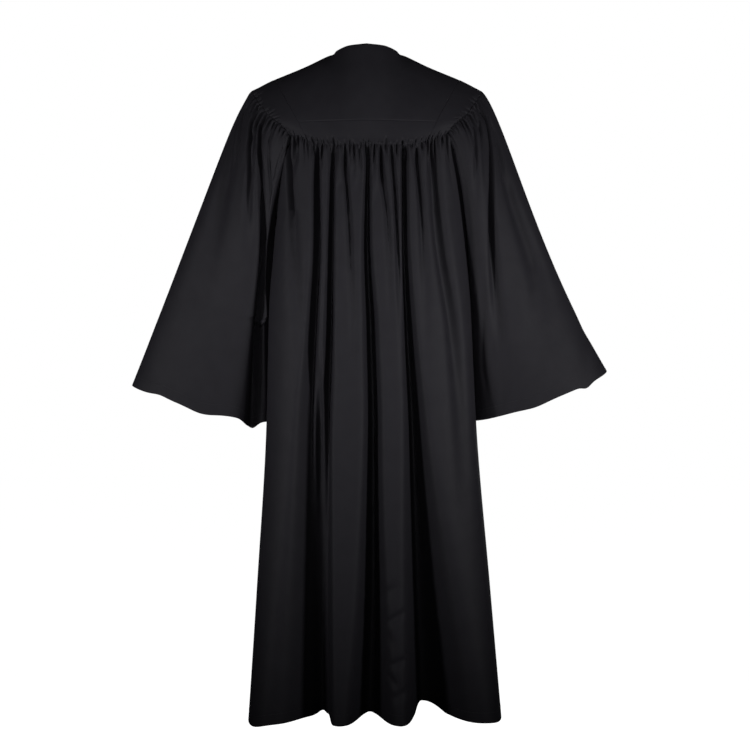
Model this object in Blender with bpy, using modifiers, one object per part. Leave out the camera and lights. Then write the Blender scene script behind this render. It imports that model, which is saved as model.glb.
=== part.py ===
"""Clergy robe, worn and filled out, as a standalone Blender script.

Metres, +Z up. The back faces +Y, the front -Y, and the wearer's left is +X. The origin is
where the robe is held: midway between the two shoulder points of the neck, at their height.
The cloth is a wall of even thickness, lofted through level sections whose sizes and folds
stand in the tables below.
"""

import math
from collections import namedtuple

import bpy
import numpy as np
from mathutils import Matrix, Vector

# Cloth and seams
CLOTH = 0.0015
BAND_CLOTH = 0.0022
SEAM = 0.0003
GATHER_SEAM = 0.0008
ARMHOLE_SEAM = 0.0024
STRAP_SEAM = 0.0015
SIDE_SEAM = 0.0009

# Heights of the seams and edges
YOKE_SEAM_Z = -0.156
BAND_EDGE_Z = -0.205
UNDERARM_Z = -0.360
HEM_Z = -1.312
HEM_LIFT = 0.22
HEM_LIFT_FROM = 0.090

# The yoke's corners
YOKE_CORNER_X = 0.156
STRAP_SHARE = 0.78
YOKE_GAP = 0.0010
YOKE_LEAN = 0.003

# Gathers along the yoke
BACK_FLUTES = 32
FRONT_FLUTES = 15
SLEEVE_FLUTES = 13
FLUTE_DEPTH = 0.0036
FLUTE_RISE = 0.006
FLUTE_LENGTH = 0.048
PUFF = 0.006
PUFF_RISE = 0.018
FOLLOW_DROP = 0.150
FOLD_RISE = 0.014

# Zip at the centre front. Heights off the cloth's middle surface are along its outward side.
FRONT_EDGE_X = 0.0042
CHAIN_WIDTH = 0.0056
CHAIN_TOP = 0.0010
TAPE_WIDTH = 0.028
TAPE_THICK = 0.0008
ZIP_TOP_Z = -0.146
ZIP_END_Z = -1.285
SLIDER_Z = -0.158
SLIDER_WIDTH = 0.009
SLIDER_LENGTH = 0.012
SLIDER_THICK = 0.0015
PLAY = 0.0003
PIVOT_HEIGHT = 0.0041
ARCH_WIDTH = 0.0014
ARCH_WALL = 0.0010
ARCH_GAP = 0.0013
PULL_THICK = 0.0014
# The pull tab's outline and the window in it, as (across, along) from its pivot.
PULL_OUTLINE = ((3.0, 0.7), (-3.0, 0.7), (-3.0, -8.0), (-3.0, -16.0), (-3.0, -24.0), (-2.0, -26.0),
                (2.0, -26.0), (3.0, -24.0), (3.0, -16.0), (3.0, -8.0))
PULL_WINDOW = ((1.0, -0.7), (-1.0, -0.7), (-1.0, -1.6), (-1.0, -2.6), (-1.0, -3.6), (-0.5, -3.6),
               (0.5, -3.6), (1.0, -3.6), (1.0, -2.6), (1.0, -1.6))
MM = 0.001

BACK, FRONT = 1, -1
LEFT, RIGHT = 1, -1

# Level sections of the body: half width, depth to the back and to the front, how square
# the section is (2 is an ellipse), and how far its middle is shifted along X.
Section = namedtuple("Section", "z half_width back_depth front_depth square shift")
SECTIONS = (
    Section(-0.205, 0.194, 0.112, 0.108, 2.5, -0.004),
    Section(-0.300, 0.194, 0.122, 0.115, 2.6, -0.005),
    Section(-0.383, 0.197, 0.130, 0.121, 2.8, -0.005),
    Section(-0.503, 0.205, 0.138, 0.127, 3.1, -0.004),
    Section(-0.763, 0.212, 0.151, 0.139, 3.7, -0.007),
    Section(-1.066, 0.231, 0.168, 0.155, 4.6, -0.011),
    Section(-1.340, 0.250, 0.186, 0.172, 5.8, -0.014),
)

# Folds of the body. Each is a valley between two ridges: where it lies along the face at
# six heights, how deep it is there, and its half width towards +X and towards -X.
FOLD_LEVELS = (-0.245, -0.385, -0.570, -0.765, -1.010, -1.312)
Fold = namedtuple("Fold", "face at depth wide_plus wide_minus")
BACK_FOLDS = (
    Fold(BACK, (0.154, 0.144, 0.130, 0.126, 0.124, 0.122), (0.012, 0.013, 0.005, 0, 0, 0),
         (0.007, 0.010, 0.012, 0.012, 0.012, 0.012), (0.006, 0.008, 0.012, 0.012, 0.012, 0.012)),
    Fold(BACK, (0.100, 0.099, 0.107, 0.115, 0.110, 0.100), (0.022, 0.034, 0.037, 0.042, 0.056, 0.070),
         (0.006, 0.008, 0.010, 0.016, 0.030, 0.052), (0.006, 0.007, 0.009, 0.012, 0.018, 0.024)),
    Fold(BACK, (0.069, 0.071, 0.073, 0.078, 0.079, 0.078), (0.020, 0.034, 0.042, 0.050, 0.064, 0.082),
         (0.005, 0.006, 0.008, 0.012, 0.020, 0.024), (0.005, 0.005, 0.006, 0.006, 0.007, 0.008)),
    Fold(BACK, (0.044, 0.035, 0.030, 0.030, 0.030, 0.030), (0.013, 0.011, 0.002, 0, 0, 0),
         (0.004, 0.005, 0.005, 0.005, 0.005, 0.005), (0.005, 0.006, 0.006, 0.006, 0.006, 0.006)),
    Fold(BACK, (0.000, 0.001, -0.006, -0.011, -0.011, -0.004), (0.022, 0.036, 0.048, 0.058, 0.074, 0.096),
         (0.005, 0.007, 0.010, 0.012, 0.018, 0.028), (0.005, 0.006, 0.010, 0.010, 0.014, 0.030)),
    Fold(BACK, (-0.026, -0.039, -0.042, -0.043, -0.044, -0.044), (0.013, 0.007, 0, 0, 0, 0),
         (0.005, 0.005, 0.005, 0.005, 0.005, 0.005), (0.005, 0.006, 0.006, 0.006, 0.006, 0.006)),
    Fold(BACK, (-0.049, -0.058, -0.065, -0.072, -0.082, -0.090), (0.011, 0.016, 0.013, 0.004, 0, 0),
         (0.004, 0.005, 0.006, 0.008, 0.008, 0.008), (0.004, 0.005, 0.006, 0.008, 0.008, 0.008)),
    Fold(BACK, (-0.071, -0.072, -0.080, -0.091, -0.098, -0.108), (0.022, 0.036, 0.048, 0.064, 0.092, 0.140),
         (0.005, 0.005, 0.008, 0.011, 0.013, 0.016), (0.005, 0.006, 0.009, 0.015, 0.036, 0.070)),
    Fold(BACK, (-0.096, -0.105, -0.110, -0.112, -0.112, -0.112), (0.014, 0.010, 0.001, 0, 0, 0),
         (0.005, 0.006, 0.008, 0.008, 0.008, 0.008), (0.005, 0.006, 0.008, 0.008, 0.008, 0.008)),
    Fold(BACK, (-0.127, -0.139, -0.165, -0.180, -0.186, -0.190), (0.016, 0.022, 0.016, 0.008, 0, 0),
         (0.009, 0.012, 0.014, 0.018, 0.018, 0.018), (0.009, 0.012, 0.016, 0.018, 0.018, 0.018)),
)
# The same on the front, for the wearer's left and, a little apart, for the right.
LEFT_FOLDS = (
    Fold(FRONT, (0.036, 0.041, 0.046, 0.050, 0.055, 0.062), (0.009, 0.024, 0.034, 0.044, 0.058, 0.074),
         (0.006, 0.007, 0.010, 0.012, 0.018, 0.026), (0.006, 0.007, 0.008, 0.010, 0.012, 0.016)),
    Fold(FRONT, (0.070, 0.078, 0.086, 0.090, 0.092, 0.094), (0.009, 0.014, 0.008, 0, 0, 0),
         (0.006, 0.007, 0.008, 0.008, 0.008, 0.008), (0.006, 0.007, 0.008, 0.008, 0.008, 0.008)),
    Fold(FRONT, (0.104, 0.110, 0.120, 0.128, 0.136, 0.146), (0.010, 0.026, 0.036, 0.048, 0.062, 0.080),
         (0.006, 0.008, 0.011, 0.014, 0.022, 0.034), (0.006, 0.007, 0.009, 0.011, 0.014, 0.018)),
)
RIGHT_FOLDS = (
    Fold(FRONT, (-0.040, -0.044, -0.048, -0.054, -0.058, -0.060), (0.009, 0.026, 0.036, 0.046, 0.056, 0.070),
         (0.006, 0.007, 0.008, 0.010, 0.012, 0.016), (0.006, 0.007, 0.010, 0.013, 0.020, 0.028)),
    Fold(FRONT, (-0.078, -0.084, -0.092, -0.096, -0.098, -0.100), (0.009, 0.012, 0.006, 0, 0, 0),
         (0.006, 0.007, 0.008, 0.008, 0.008, 0.008), (0.006, 0.007, 0.008, 0.008, 0.008, 0.008)),
    Fold(FRONT, (-0.110, -0.118, -0.126, -0.132, -0.142, -0.150), (0.010, 0.028, 0.038, 0.046, 0.060, 0.084),
         (0.006, 0.007, 0.009, 0.011, 0.014, 0.018), (0.006, 0.008, 0.011, 0.014, 0.024, 0.036)),
)
# The long hollow down each side seam, where the sleeve hangs against the body.
SIDE_DEPTH = (0.000, 0.012, 0.024, 0.030, 0.038, 0.052)
SIDE_WIDE = (0.030, 0.034, 0.038, 0.040, 0.040, 0.042)

# Columns of the yoke, from the middle to the sleeve: the point on the neckline or shoulder
# ridge, the handle that leaves it, and the handle above the point on the band's edge.
Column = namedtuple("Column", "share top leave x_edge arrive")
BACK_YOKE = (
    Column(0.00, (0.000, 0.072, 0.0034), (0.000, 0.030, -0.055), 0.000, (0.000, 0.000, 0.065)),
    Column(0.12, (0.034, 0.0624, 0.0020), (0.009, 0.031, -0.052), 0.019, (0.002, 0.000, 0.065)),
    Column(0.24, (0.060, 0.0300, -0.0002), (0.012, 0.036, -0.036), 0.037, (0.005, 0.000, 0.065)),
    Column(0.35, (0.070, 0.0003, -0.0006), (0.006, 0.048, -0.012), 0.055, (0.008, 0.000, 0.065)),
    Column(0.55, (0.122, 0.0004, -0.0247), (-0.002, 0.060, -0.006), 0.084, (0.012, 0.000, 0.062)),
    Column(0.78, (0.190, 0.0008, -0.0525), (-0.008, 0.050, -0.014), 0.119, (0.020, 0.004, 0.055)),
    Column(1.00, (0.234, 0.0014, -0.0755), (-0.018, 0.035, -0.030), 0.156, (0.025, 0.012, 0.045)),
)
FRONT_YOKE = (
    Column(0.00, (0.0042, -0.094, -0.134), (0.000, -0.006, -0.024), 0.0042, (0.000, 0.000, 0.020)),
    Column(0.16, (0.0230, -0.080, -0.088), (0.002, -0.012, -0.036), 0.026, (0.001, 0.000, 0.034)),
    Column(0.32, (0.0450, -0.053, -0.042), (0.004, -0.026, -0.040), 0.050, (0.002, 0.000, 0.050)),
    Column(0.44, (0.0610, -0.024, -0.013), (0.006, -0.038, -0.026), 0.070, (0.004, 0.000, 0.060)),
    Column(0.52, (0.0700, -0.0003, -0.0006), (0.006, -0.046, -0.012), 0.084, (0.008, 0.000, 0.062)),
    Column(0.68, (0.1220, -0.0004, -0.0247), (-0.002, -0.056, -0.006), 0.106, (0.012, 0.000, 0.062)),
    Column(0.85, (0.1900, -0.0006, -0.0525), (-0.008, -0.046, -0.014), 0.132, (0.020, -0.004, 0.055)),
    Column(1.00, (0.2340, -0.0011, -0.0755), (-0.018, -0.033, -0.030), 0.156, (0.025, -0.010, 0.045)),
)

# Each sleeve's edge at the cuff: its outer and inner corner, half depth and sag, and how
# much further in its outer threads run on their way there.
Sleeve = namedtuple("Sleeve", "side outer inner half_depth sag bow")
SLEEVES = (
    Sleeve(LEFT, (0.479, 0.004, -0.672), (0.204, 0.004, -0.746), 0.060, 0.008, 0.004),
    Sleeve(RIGHT, (-0.484, 0.004, -0.642), (-0.213, 0.004, -0.742), 0.060, 0.014, 0.044),
)
SLEEVE_LENGTH = 0.62
SLEEVE_PUFF = 0.011
SLEEVE_PUFF_RISE = 0.036
STRAP_TURN = 0.32
CUFF_SHARES = ((0.00, 0.00), (0.08, 0.42), (0.16, 0.62), (0.32, 0.86), (0.50, 1.00))
# Threads of a sleeve, by their turn round the armhole (0 at the shoulder, 0.5 under the
# arm): the handle on which each leaves the armhole and the one on which it meets the cuff.
Thread = namedtuple("Thread", "turn leave arrive")
THREADS = (
    Thread(0.00, (0.076, 0.000, -0.175), (-0.078, 0.000, 0.200)),
    Thread(0.10, (0.072, 0.024, -0.150), (-0.060, 0.004, 0.200)),
    Thread(0.20, (0.062, 0.034, -0.120), (-0.040, 0.006, 0.200)),
    Thread(0.32, (0.052, 0.014, -0.080), (-0.006, 0.004, 0.200)),
    Thread(0.42, (0.026, 0.006, -0.100), (-0.002, 0.002, 0.160)),
    Thread(0.50, (0.012, 0.000, -0.120), (-0.002, 0.000, 0.130)),
)
CREASE_FADE = 0.06

# Folds of a sleeve, as paths in the photographed plane: x and z of three points, the depth
# and the half width at each. x is measured away from the middle of the robe.
Crease = namedtuple("Crease", "side face x z depth wide")
CREASES = (
    Crease(LEFT, BACK, (0.228, 0.232, 0.234), (-0.150, -0.290, -0.430),
           (0.012, 0.020, 0.004), (0.006, 0.008, 0.012)),
    Crease(LEFT, BACK, (0.208, 0.209, 0.210), (-0.160, -0.300, -0.450),
           (0.016, 0.028, 0.012), (0.006, 0.007, 0.009)),
    Crease(LEFT, BACK, (0.256, 0.282, 0.330), (-0.120, -0.270, -0.480),
           (0.006, 0.009, 0.004), (0.010, 0.016, 0.030)),
    Crease(LEFT, BACK, (0.226, 0.234, 0.244), (-0.500, -0.620, -0.745),
           (0.004, 0.012, 0.020), (0.010, 0.012, 0.014)),
    Crease(LEFT, FRONT, (0.230, 0.252, 0.300), (-0.140, -0.280, -0.600),
           (0.010, 0.022, 0.020), (0.008, 0.012, 0.024)),
    Crease(LEFT, FRONT, (0.250, 0.300, 0.390), (-0.130, -0.270, -0.600),
           (0.006, 0.014, 0.012), (0.009, 0.014, 0.028)),
    Crease(RIGHT, BACK, (0.232, 0.243, 0.256), (-0.140, -0.330, -0.563),
           (0.016, 0.028, 0.014), (0.006, 0.008, 0.012)),
    Crease(RIGHT, BACK, (0.281, 0.330, 0.345), (-0.290, -0.450, -0.600),
           (0.008, 0.016, 0.014), (0.010, 0.016, 0.022)),
    Crease(RIGHT, BACK, (0.262, 0.268, 0.276), (-0.160, -0.220, -0.280),
           (0.008, 0.010, 0.004), (0.006, 0.008, 0.010)),
    Crease(RIGHT, BACK, (0.228, 0.230, 0.230), (-0.480, -0.560, -0.650),
           (0.004, 0.009, 0.006), (0.006, 0.006, 0.008)),
    Crease(RIGHT, FRONT, (0.232, 0.256, 0.305), (-0.140, -0.290, -0.600),
           (0.010, 0.020, 0.022), (0.008, 0.012, 0.022)),
    Crease(RIGHT, FRONT, (0.252, 0.296, 0.380), (-0.130, -0.280, -0.600),
           (0.006, 0.015, 0.012), (0.009, 0.014, 0.026)),
)

# Mesh fineness
BACK_COLUMNS = 2 * BACK_FLUTES
FRONT_COLUMNS = 2 * FRONT_FLUTES
ARMHOLE_COLUMNS = 6
ARMHOLE_DROPS = np.sin(np.linspace(0, math.pi / 2, ARMHOLE_COLUMNS + 1)) * (BAND_EDGE_Z - UNDERARM_Z)
BODY_DROPS = (GATHER_SEAM, 0.007, 0.019, 0.195, 0.270, 0.370, 0.500, 0.660, 0.830, 1.000, BAND_EDGE_Z - HEM_Z)
SLEEVE_ROWS = (0.0, 0.014, 0.045, 0.110, 0.200, 0.330, 0.500, 0.740, 1.0)
FINE = 720


def smooth(x, knots, values):
    """A smooth curve through the values at the knots that never swings past them."""
    x = np.atleast_1d(np.asarray(x, float))
    knots = np.asarray(knots, float)
    values = np.asarray(values, float)
    if knots[0] > knots[-1]:
        knots, values = knots[::-1], values[::-1]
    steps = (np.diff(values, axis=0).T / np.diff(knots)).T
    product = np.maximum(steps[1:] * steps[:-1], 0)
    inner = 2 * product / np.where(product > 0, steps[1:] + steps[:-1], 1)
    slopes = np.concatenate([steps[:1], inner, steps[-1:]])
    x = np.clip(x, knots[0], knots[-1])
    k = np.clip(np.searchsorted(knots, x, side="right") - 1, 0, len(knots) - 2)
    width = knots[k + 1] - knots[k]
    t = (x - knots[k]) / width
    if values.ndim > 1:
        t, width = t[:, None], width[:, None]
    return (
        values[k] * (1 + 2 * t) * (1 - t) ** 2
        + slopes[k] * width * t * (1 - t) ** 2
        + values[k + 1] * t * t * (3 - 2 * t)
        + slopes[k + 1] * width * t * t * (t - 1)
    )


def section_size(name, z):
    """One named size of the body's section at height z."""
    return float(smooth(z, [s.z for s in SECTIONS], [getattr(s, name) for s in SECTIONS])[0])


def hull(z, turn):
    """Points of the body's unfolded section: turn is 0 at the back's middle and 90 at +X."""
    square = section_size("square", z)
    across, deep = np.sin(np.radians(turn)), np.cos(np.radians(turn))
    reach = (np.abs(across) ** square + np.abs(deep) ** square) ** (-1 / square)
    depth = np.where(deep > 0, section_size("back_depth", z), section_size("front_depth", z))
    x = section_size("shift", z) + section_size("half_width", z) * across * reach
    return np.stack([x, depth * deep * reach], 1)


def turn_at_x(z, x, face):
    """The turn where the hull's back or front face passes x."""
    square = section_size("square", z)
    share = (x - section_size("shift", z)) / section_size("half_width", z)
    share = max(-1.0, min(1.0, share))
    turn = math.degrees(math.atan2(share, (1 - abs(share) ** square) ** (1 / square)))
    return turn if face == BACK else 180 - turn


def turn_at_y(z, y, face):
    """The turn, from 0 to 90 degrees off the face's middle, where its depth is y."""
    square = section_size("square", z)
    share = min(max(y / section_size("back_depth" if face == BACK else "front_depth", z), 0), 1)
    return math.degrees(math.atan2((1 - share ** square) ** (1 / square), share))


def fold_value(column, z):
    return float(smooth(z, FOLD_LEVELS, column)[0])


def fold_depths(z, turns, along):
    """How far each point of a section is pushed in by the folds, the deepest fold winning."""
    total = np.zeros(len(turns))
    start = 1 - math.exp(-max(BAND_EDGE_Z - z, 0) / FOLD_RISE)
    for fold in BACK_FOLDS + LEFT_FOLDS + RIGHT_FOLDS:
        centre = np.interp(turn_at_x(z, fold_value(fold.at, z), fold.face), turns, along)
        away = along - centre
        towards_plus = away > 0 if fold.face == BACK else away < 0
        wide = np.where(towards_plus, fold_value(fold.wide_plus, z), fold_value(fold.wide_minus, z))
        depth = max(fold_value(fold.depth, z), 0) * start
        total += (depth * np.exp(-np.abs(away / wide) ** 2.4)) ** 3
    for turn in (-90, 90, 270):
        away = along - np.interp(turn, turns, along)
        depth = max(fold_value(SIDE_DEPTH, z), 0)
        total += (depth * np.exp(-np.abs(away / fold_value(SIDE_WIDE, z)) ** 2.4)) ** 3
    return np.cbrt(total)


def body_section(z):
    """The folded section at height z: turns, plan points and outward directions."""
    turns = np.linspace(-120, 300, FINE * 2 + 1)
    points = hull(z, turns)
    ahead = np.gradient(points, axis=0)
    length = np.maximum(np.linalg.norm(ahead, axis=1), 1e-9)
    along = np.concatenate([[0], np.cumsum(np.linalg.norm(np.diff(points, axis=0), axis=1))])
    outward = np.stack([-ahead[:, 1], ahead[:, 0]], 1) / length[:, None]
    puff = PUFF * (1 - math.exp(-max(BAND_EDGE_Z - z, 0) / PUFF_RISE))
    press = fold_depths(z, turns, along)
    push = puff * outward[:, 1] ** 2 - press
    return turns, points + outward * push[:, None], outward, press


def spread(turns, points, anchors, counts):
    """Turns of the columns: each stretch between two anchors is cut into equal lengths."""
    along = np.concatenate([[0], np.cumsum(np.linalg.norm(np.diff(points, axis=0), axis=1))])
    stops = np.interp(anchors, turns, along)
    parts = [np.linspace(a, b, n, endpoint=False) for a, b, n in zip(stops, stops[1:], counts)]
    return np.interp(np.concatenate(parts + [stops[-1:]]), along, turns)


def shares_of(lengths, total):
    """Whole column counts in proportion to the lengths, at least one each."""
    lengths = np.asarray(lengths, float)
    counts = np.maximum(np.floor(lengths / lengths.sum() * total).astype(int), 1)
    while counts.sum() != total:
        step = 1 if counts.sum() < total else -1
        worth = lengths / counts
        pick = np.argmax(worth) if step > 0 else np.argmin(np.where(counts > 1, worth, np.inf))
        counts[pick] += step
    return counts


def seam_y(z, face):
    """Depth of the armhole seam above the underarm: it runs on an arc from the yoke's corner."""
    if z <= UNDERARM_Z:
        return 0.0
    corner = hull(BAND_EDGE_Z, np.array([turn_at_x(BAND_EDGE_Z, YOKE_CORNER_X, face)]))[0, 1]
    down = max(0, BAND_EDGE_Z - z) / (BAND_EDGE_Z - UNDERARM_Z)
    return abs(corner) * math.sqrt(max(1 - down * down, 0))


def panel_edge(z, face, side):
    """Turn of a panel's edge, half a seam short of the side seam itself."""
    turn = turn_at_y(z, max(seam_y(z, face), SIDE_SEAM / 2), face)
    return side * turn if face == BACK else 180 - side * turn


def flute(column, below):
    """Depth of the gathers at a column: ridges on even columns, valleys on odd ones."""
    number = np.asarray(column) // 2
    length = FLUTE_LENGTH * (1 + 0.45 * np.sin(number * 2.4) * np.cos(number * 0.9))
    rise = 1 - np.exp(-np.maximum(below, 0) / FLUTE_RISE)
    size = FLUTE_DEPTH * (1 + 0.25 * np.sin(number * 1.7 + 1))
    return np.where(np.asarray(column) % 2, -size, size) * rise * np.exp(-(below / length) ** 1.6)


def body_panel(face, folds, first_edge, last_edge, columns):
    """Grid of points of a panel, from the yoke's edge to the hem, rows by columns."""
    counts = None
    rows = []
    drops = sorted({round(d, 5) for d in (*BODY_DROPS, *ARMHOLE_DROPS[1:])})
    for z in [UNDERARM_Z - 0.2] + [BAND_EDGE_Z - d for d in drops]:
        turns, points, outward, press = body_section(z)
        first, last = first_edge(z), last_edge(z)
        inside = np.clip([turn_at_x(z, fold_value(f.at, z), face) for f in folds], first + 2, last - 2)
        inside = np.sort(inside)
        anchors = np.sort([first, last, *inside, *(inside[1:] + inside[:-1]) / 2])
        anchors = anchors + np.arange(len(anchors)) * 1e-5
        if counts is None:
            along = np.concatenate([[0], np.cumsum(np.linalg.norm(np.diff(points, axis=0), axis=1))])
            counts = shares_of(np.diff(np.interp(anchors, turns, along)), columns)
            continue
        blend = min(1.0, (BAND_EDGE_Z - z) / FOLLOW_DROP)
        blend = blend * blend * (3 - 2 * blend)
        even = spread(turns, hull(z, turns), [first, last], [columns])
        chosen = (1 - blend) * even + blend * spread(turns, points, anchors, counts)
        plan = np.stack([np.interp(chosen, turns, points[:, k]) for k in (0, 1)], 1)
        out = np.stack([np.interp(chosen, turns, outward[:, k]) for k in (0, 1)], 1)
        gather = flute(np.arange(columns + 1), BAND_EDGE_Z - z)
        gather *= np.clip((np.abs(plan[:, 0]) - TAPE_WIDTH / 2) / TAPE_WIDTH, 0, 1) if face == FRONT else 1
        gather[[0, -1]] = 0
        plan = plan + out * gather[:, None]
        lift = HEM_LIFT * np.maximum(np.interp(chosen, turns, press) - HEM_LIFT_FROM, 0)
        rows.append(np.column_stack([plan, z + lift * (z / HEM_Z) ** 2]))
    return np.array(rows)


def yoke_point(table, side, share, down):
    """Points of the yoke: share runs from the middle to the sleeve, down from top to edge."""
    share = np.atleast_1d(np.asarray(share, float))
    down = np.atleast_1d(np.asarray(down, float))
    knots = [c.share for c in table]
    face = BACK if table is BACK_YOKE else FRONT
    top = smooth(share, knots, [c.top for c in table])
    leave = smooth(share, knots, [c.leave for c in table])
    arrive = smooth(share, knots, [c.arrive for c in table])
    x_edge = smooth(share, knots, [c.x_edge for c in table])
    ends = [hull(BAND_EDGE_Z, np.array([turn_at_x(BAND_EDGE_Z, side * x, face)]))[0] for x in x_edge]
    end = np.column_stack([np.array(ends), np.full(len(ends), BAND_EDGE_Z)])
    end[:, 0] *= side
    t = down[:, None]
    curve = (
        top * (1 - t) ** 3
        + 3 * (top + leave) * t * (1 - t) ** 2
        + 3 * (end + arrive) * t * t * (1 - t)
        + end * t ** 3
    )
    lean = YOKE_LEAN if face == BACK else YOKE_LEAN * np.clip(share / FRONT_YOKE[4].share, 0, 1)
    curve[:, 0] = side * curve[:, 0] + lean * (1 - down)
    return curve


def down_at(table, share, z):
    """How far down a yoke column passes height z, as a share of the column."""
    steps = np.linspace(0, 1, 81)
    heights = yoke_point(table, 1, np.full(81, share), steps)[:, 2]
    return float(np.interp(-z, -heights, steps))


def yoke_grid(table, columns, top_z, end_z, rows):
    """Grid of a yoke piece: columns are (side, share), top_z is None for the neckline."""
    grid = []
    for side, share in columns:
        top = 0.0 if top_z is None else down_at(table, share, top_z)
        end = down_at(table, share, end_z)
        steps = np.linspace(top, end, rows + 1)
        grid.append(yoke_point(table, side, np.full(rows + 1, share), steps))
    return np.array(grid).transpose(1, 0, 2)


def wall(name, grid, thickness, slot, collection, outward=1, closed=False):
    """An object from a grid of points, given its thickness by Solidify about the grid."""
    rows, columns = grid.shape[:2]
    spans = columns if closed else columns - 1
    faces = []
    for r in range(rows - 1):
        for c in range(spans):
            a, b = r * columns + c, r * columns + (c + 1) % columns
            quad = (a, b, b + columns, a + columns)
            faces.append(quad if outward > 0 else quad[::-1])
    mesh = bpy.data.meshes.new(name)
    mesh.from_pydata([tuple(p) for p in grid.reshape(-1, 3)], [], faces)
    mesh.materials.append(slot)
    mesh.shade_smooth()
    obj = bpy.data.objects.new(name, mesh)
    collection.objects.link(obj)
    solid = obj.modifiers.new("Cloth", "SOLIDIFY")
    solid.thickness = thickness
    solid.offset = 0
    return obj


def armhole_edge(side, face):
    """Points of the armhole seam on the body, from the yoke's corner to the underarm."""
    points = []
    for drop in ARMHOLE_DROPS:
        z = BAND_EDGE_Z - drop
        turns, plan, outward, _ = body_section(z)
        turn = side * turn_at_y(z, seam_y(z, face), face)
        turn = turn if face == BACK else 180 - turn
        away = np.array([np.interp(turn, turns, outward[:, k]) for k in (0, 1)])
        away *= ARMHOLE_SEAM * (0.80 + 0.20 * drop / ARMHOLE_DROPS[-1]) / np.linalg.norm(away)
        points.append([*(np.interp(turn, turns, plan[:, k]) + away[k] for k in (0, 1)), z])
    return np.array(points)


def strap_edge(side, face):
    """Points of the seam between the yoke and the sleeve, from the shoulder to the corner."""
    table = BACK_YOKE if face == BACK else FRONT_YOKE
    shares = np.linspace(0, 1, 2 * SLEEVE_FLUTES + 1)
    return yoke_point(table, side, np.ones(len(shares)), shares)


def armhole_loop(side):
    """Closed loop of the sleeve's top edge with its turns: 0 at the shoulder, 0.5 underarm."""
    halves = []
    for face in (BACK, FRONT):
        strap, arm = strap_edge(side, face), armhole_edge(side, face)
        away = np.array([side * 0.75, 0.35 * face, -0.35]) * STRAP_SEAM
        halves.append(np.vstack([strap[:-1] + away, arm]))
    turns = np.concatenate([np.linspace(0, STRAP_TURN, 2 * SLEEVE_FLUTES, endpoint=False),
                            np.linspace(STRAP_TURN, 0.5, ARMHOLE_COLUMNS + 1)])
    loop = np.vstack([halves[0], halves[1][-2:0:-1]])
    return np.concatenate([turns, 1 - turns[-2:0:-1]]), loop


def cuff_point(sleeve, turns):
    """Points of the cuff's edge, a flattened loop from the outer to the inner corner."""
    half = np.minimum(turns, 1 - turns)
    share = smooth(half, [t for t, _ in CUFF_SHARES], [s for _, s in CUFF_SHARES])
    outer, inner = np.array(sleeve.outer), np.array(sleeve.inner)
    points = (outer + inner) / 2 + np.outer(np.cos(np.pi * share), (outer - inner) / 2)
    bulge = np.sin(np.pi * share)
    points[:, 1] += np.where(turns <= 0.5, 1, -1) * sleeve.half_depth * bulge ** 0.9
    points[:, 2] -= sleeve.sag * bulge
    return points


def sleeve_hull(sleeve, turns, loop_turns, loop, down):
    """The unfolded sleeve at one share of its length: each thread bends out of the armhole."""
    at = turns % 1.0
    wrapped = np.append(loop_turns, 1.0)
    top = np.stack([np.interp(at, wrapped, np.append(loop[:, k], loop[0, k])) for k in range(3)], 1)
    cuff = cuff_point(sleeve, at)
    half = np.minimum(at, 1 - at)
    leave = smooth(half, [row.turn for row in THREADS], [row.leave for row in THREADS])
    arrive = smooth(half, [row.turn for row in THREADS], [row.arrive for row in THREADS])
    mirror = np.stack([np.full(len(at), sleeve.side), np.where(at <= 0.5, 1, -1), np.ones(len(at))], 1)
    first, last = top + leave * mirror, cuff + arrive * mirror
    last[:, 0] -= sleeve.side * sleeve.bow * (1 - half / 0.5)
    t = down
    return top * (1 - t) ** 3 + 3 * first * t * (1 - t) ** 2 + 3 * last * t * t * (1 - t) + cuff * t ** 3


def sleeve_outward(sleeve, turns, loop_turns, loop, down):
    """Outward directions of the unfolded sleeve."""
    ahead = sleeve_hull(sleeve, turns + 1e-3, loop_turns, loop, down)
    ahead = ahead - sleeve_hull(sleeve, turns - 1e-3, loop_turns, loop, down)
    along = sleeve_hull(sleeve, turns, loop_turns, loop, min(down + 1e-2, 1))
    along = along - sleeve_hull(sleeve, turns, loop_turns, loop, max(down - 1e-2, 0))
    outward = np.cross(ahead, along) * -sleeve.side
    return outward / np.maximum(np.linalg.norm(outward, axis=1), 1e-9)[:, None]


def crease_paths(sleeve, loop_turns, loop):
    """Each crease of the sleeve as turns and shares of length, found from its x and z."""
    downs = np.linspace(0, 1, 61)
    turns = np.linspace(0, 1, FINE + 1)
    surface = np.array([sleeve_hull(sleeve, turns, loop_turns, loop, d) for d in downs])
    paths = []
    for crease in CREASES:
        if crease.side != sleeve.side:
            continue
        mask = turns <= 0.5 if crease.face == BACK else turns >= 0.5
        near = []
        for x, z in zip(crease.x, crease.z):
            miss = (np.abs(surface[:, :, 0]) - x) ** 2 + (surface[:, :, 2] - z) ** 2 + np.where(mask, 0, 1)
            row, column = np.unravel_index(np.argmin(miss), miss.shape)
            near.append((downs[row], turns[column]))
        near = np.array(near)
        near[:, 0] += np.arange(len(near)) * 1e-4
        paths.append((crease, near))
    return paths


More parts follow.
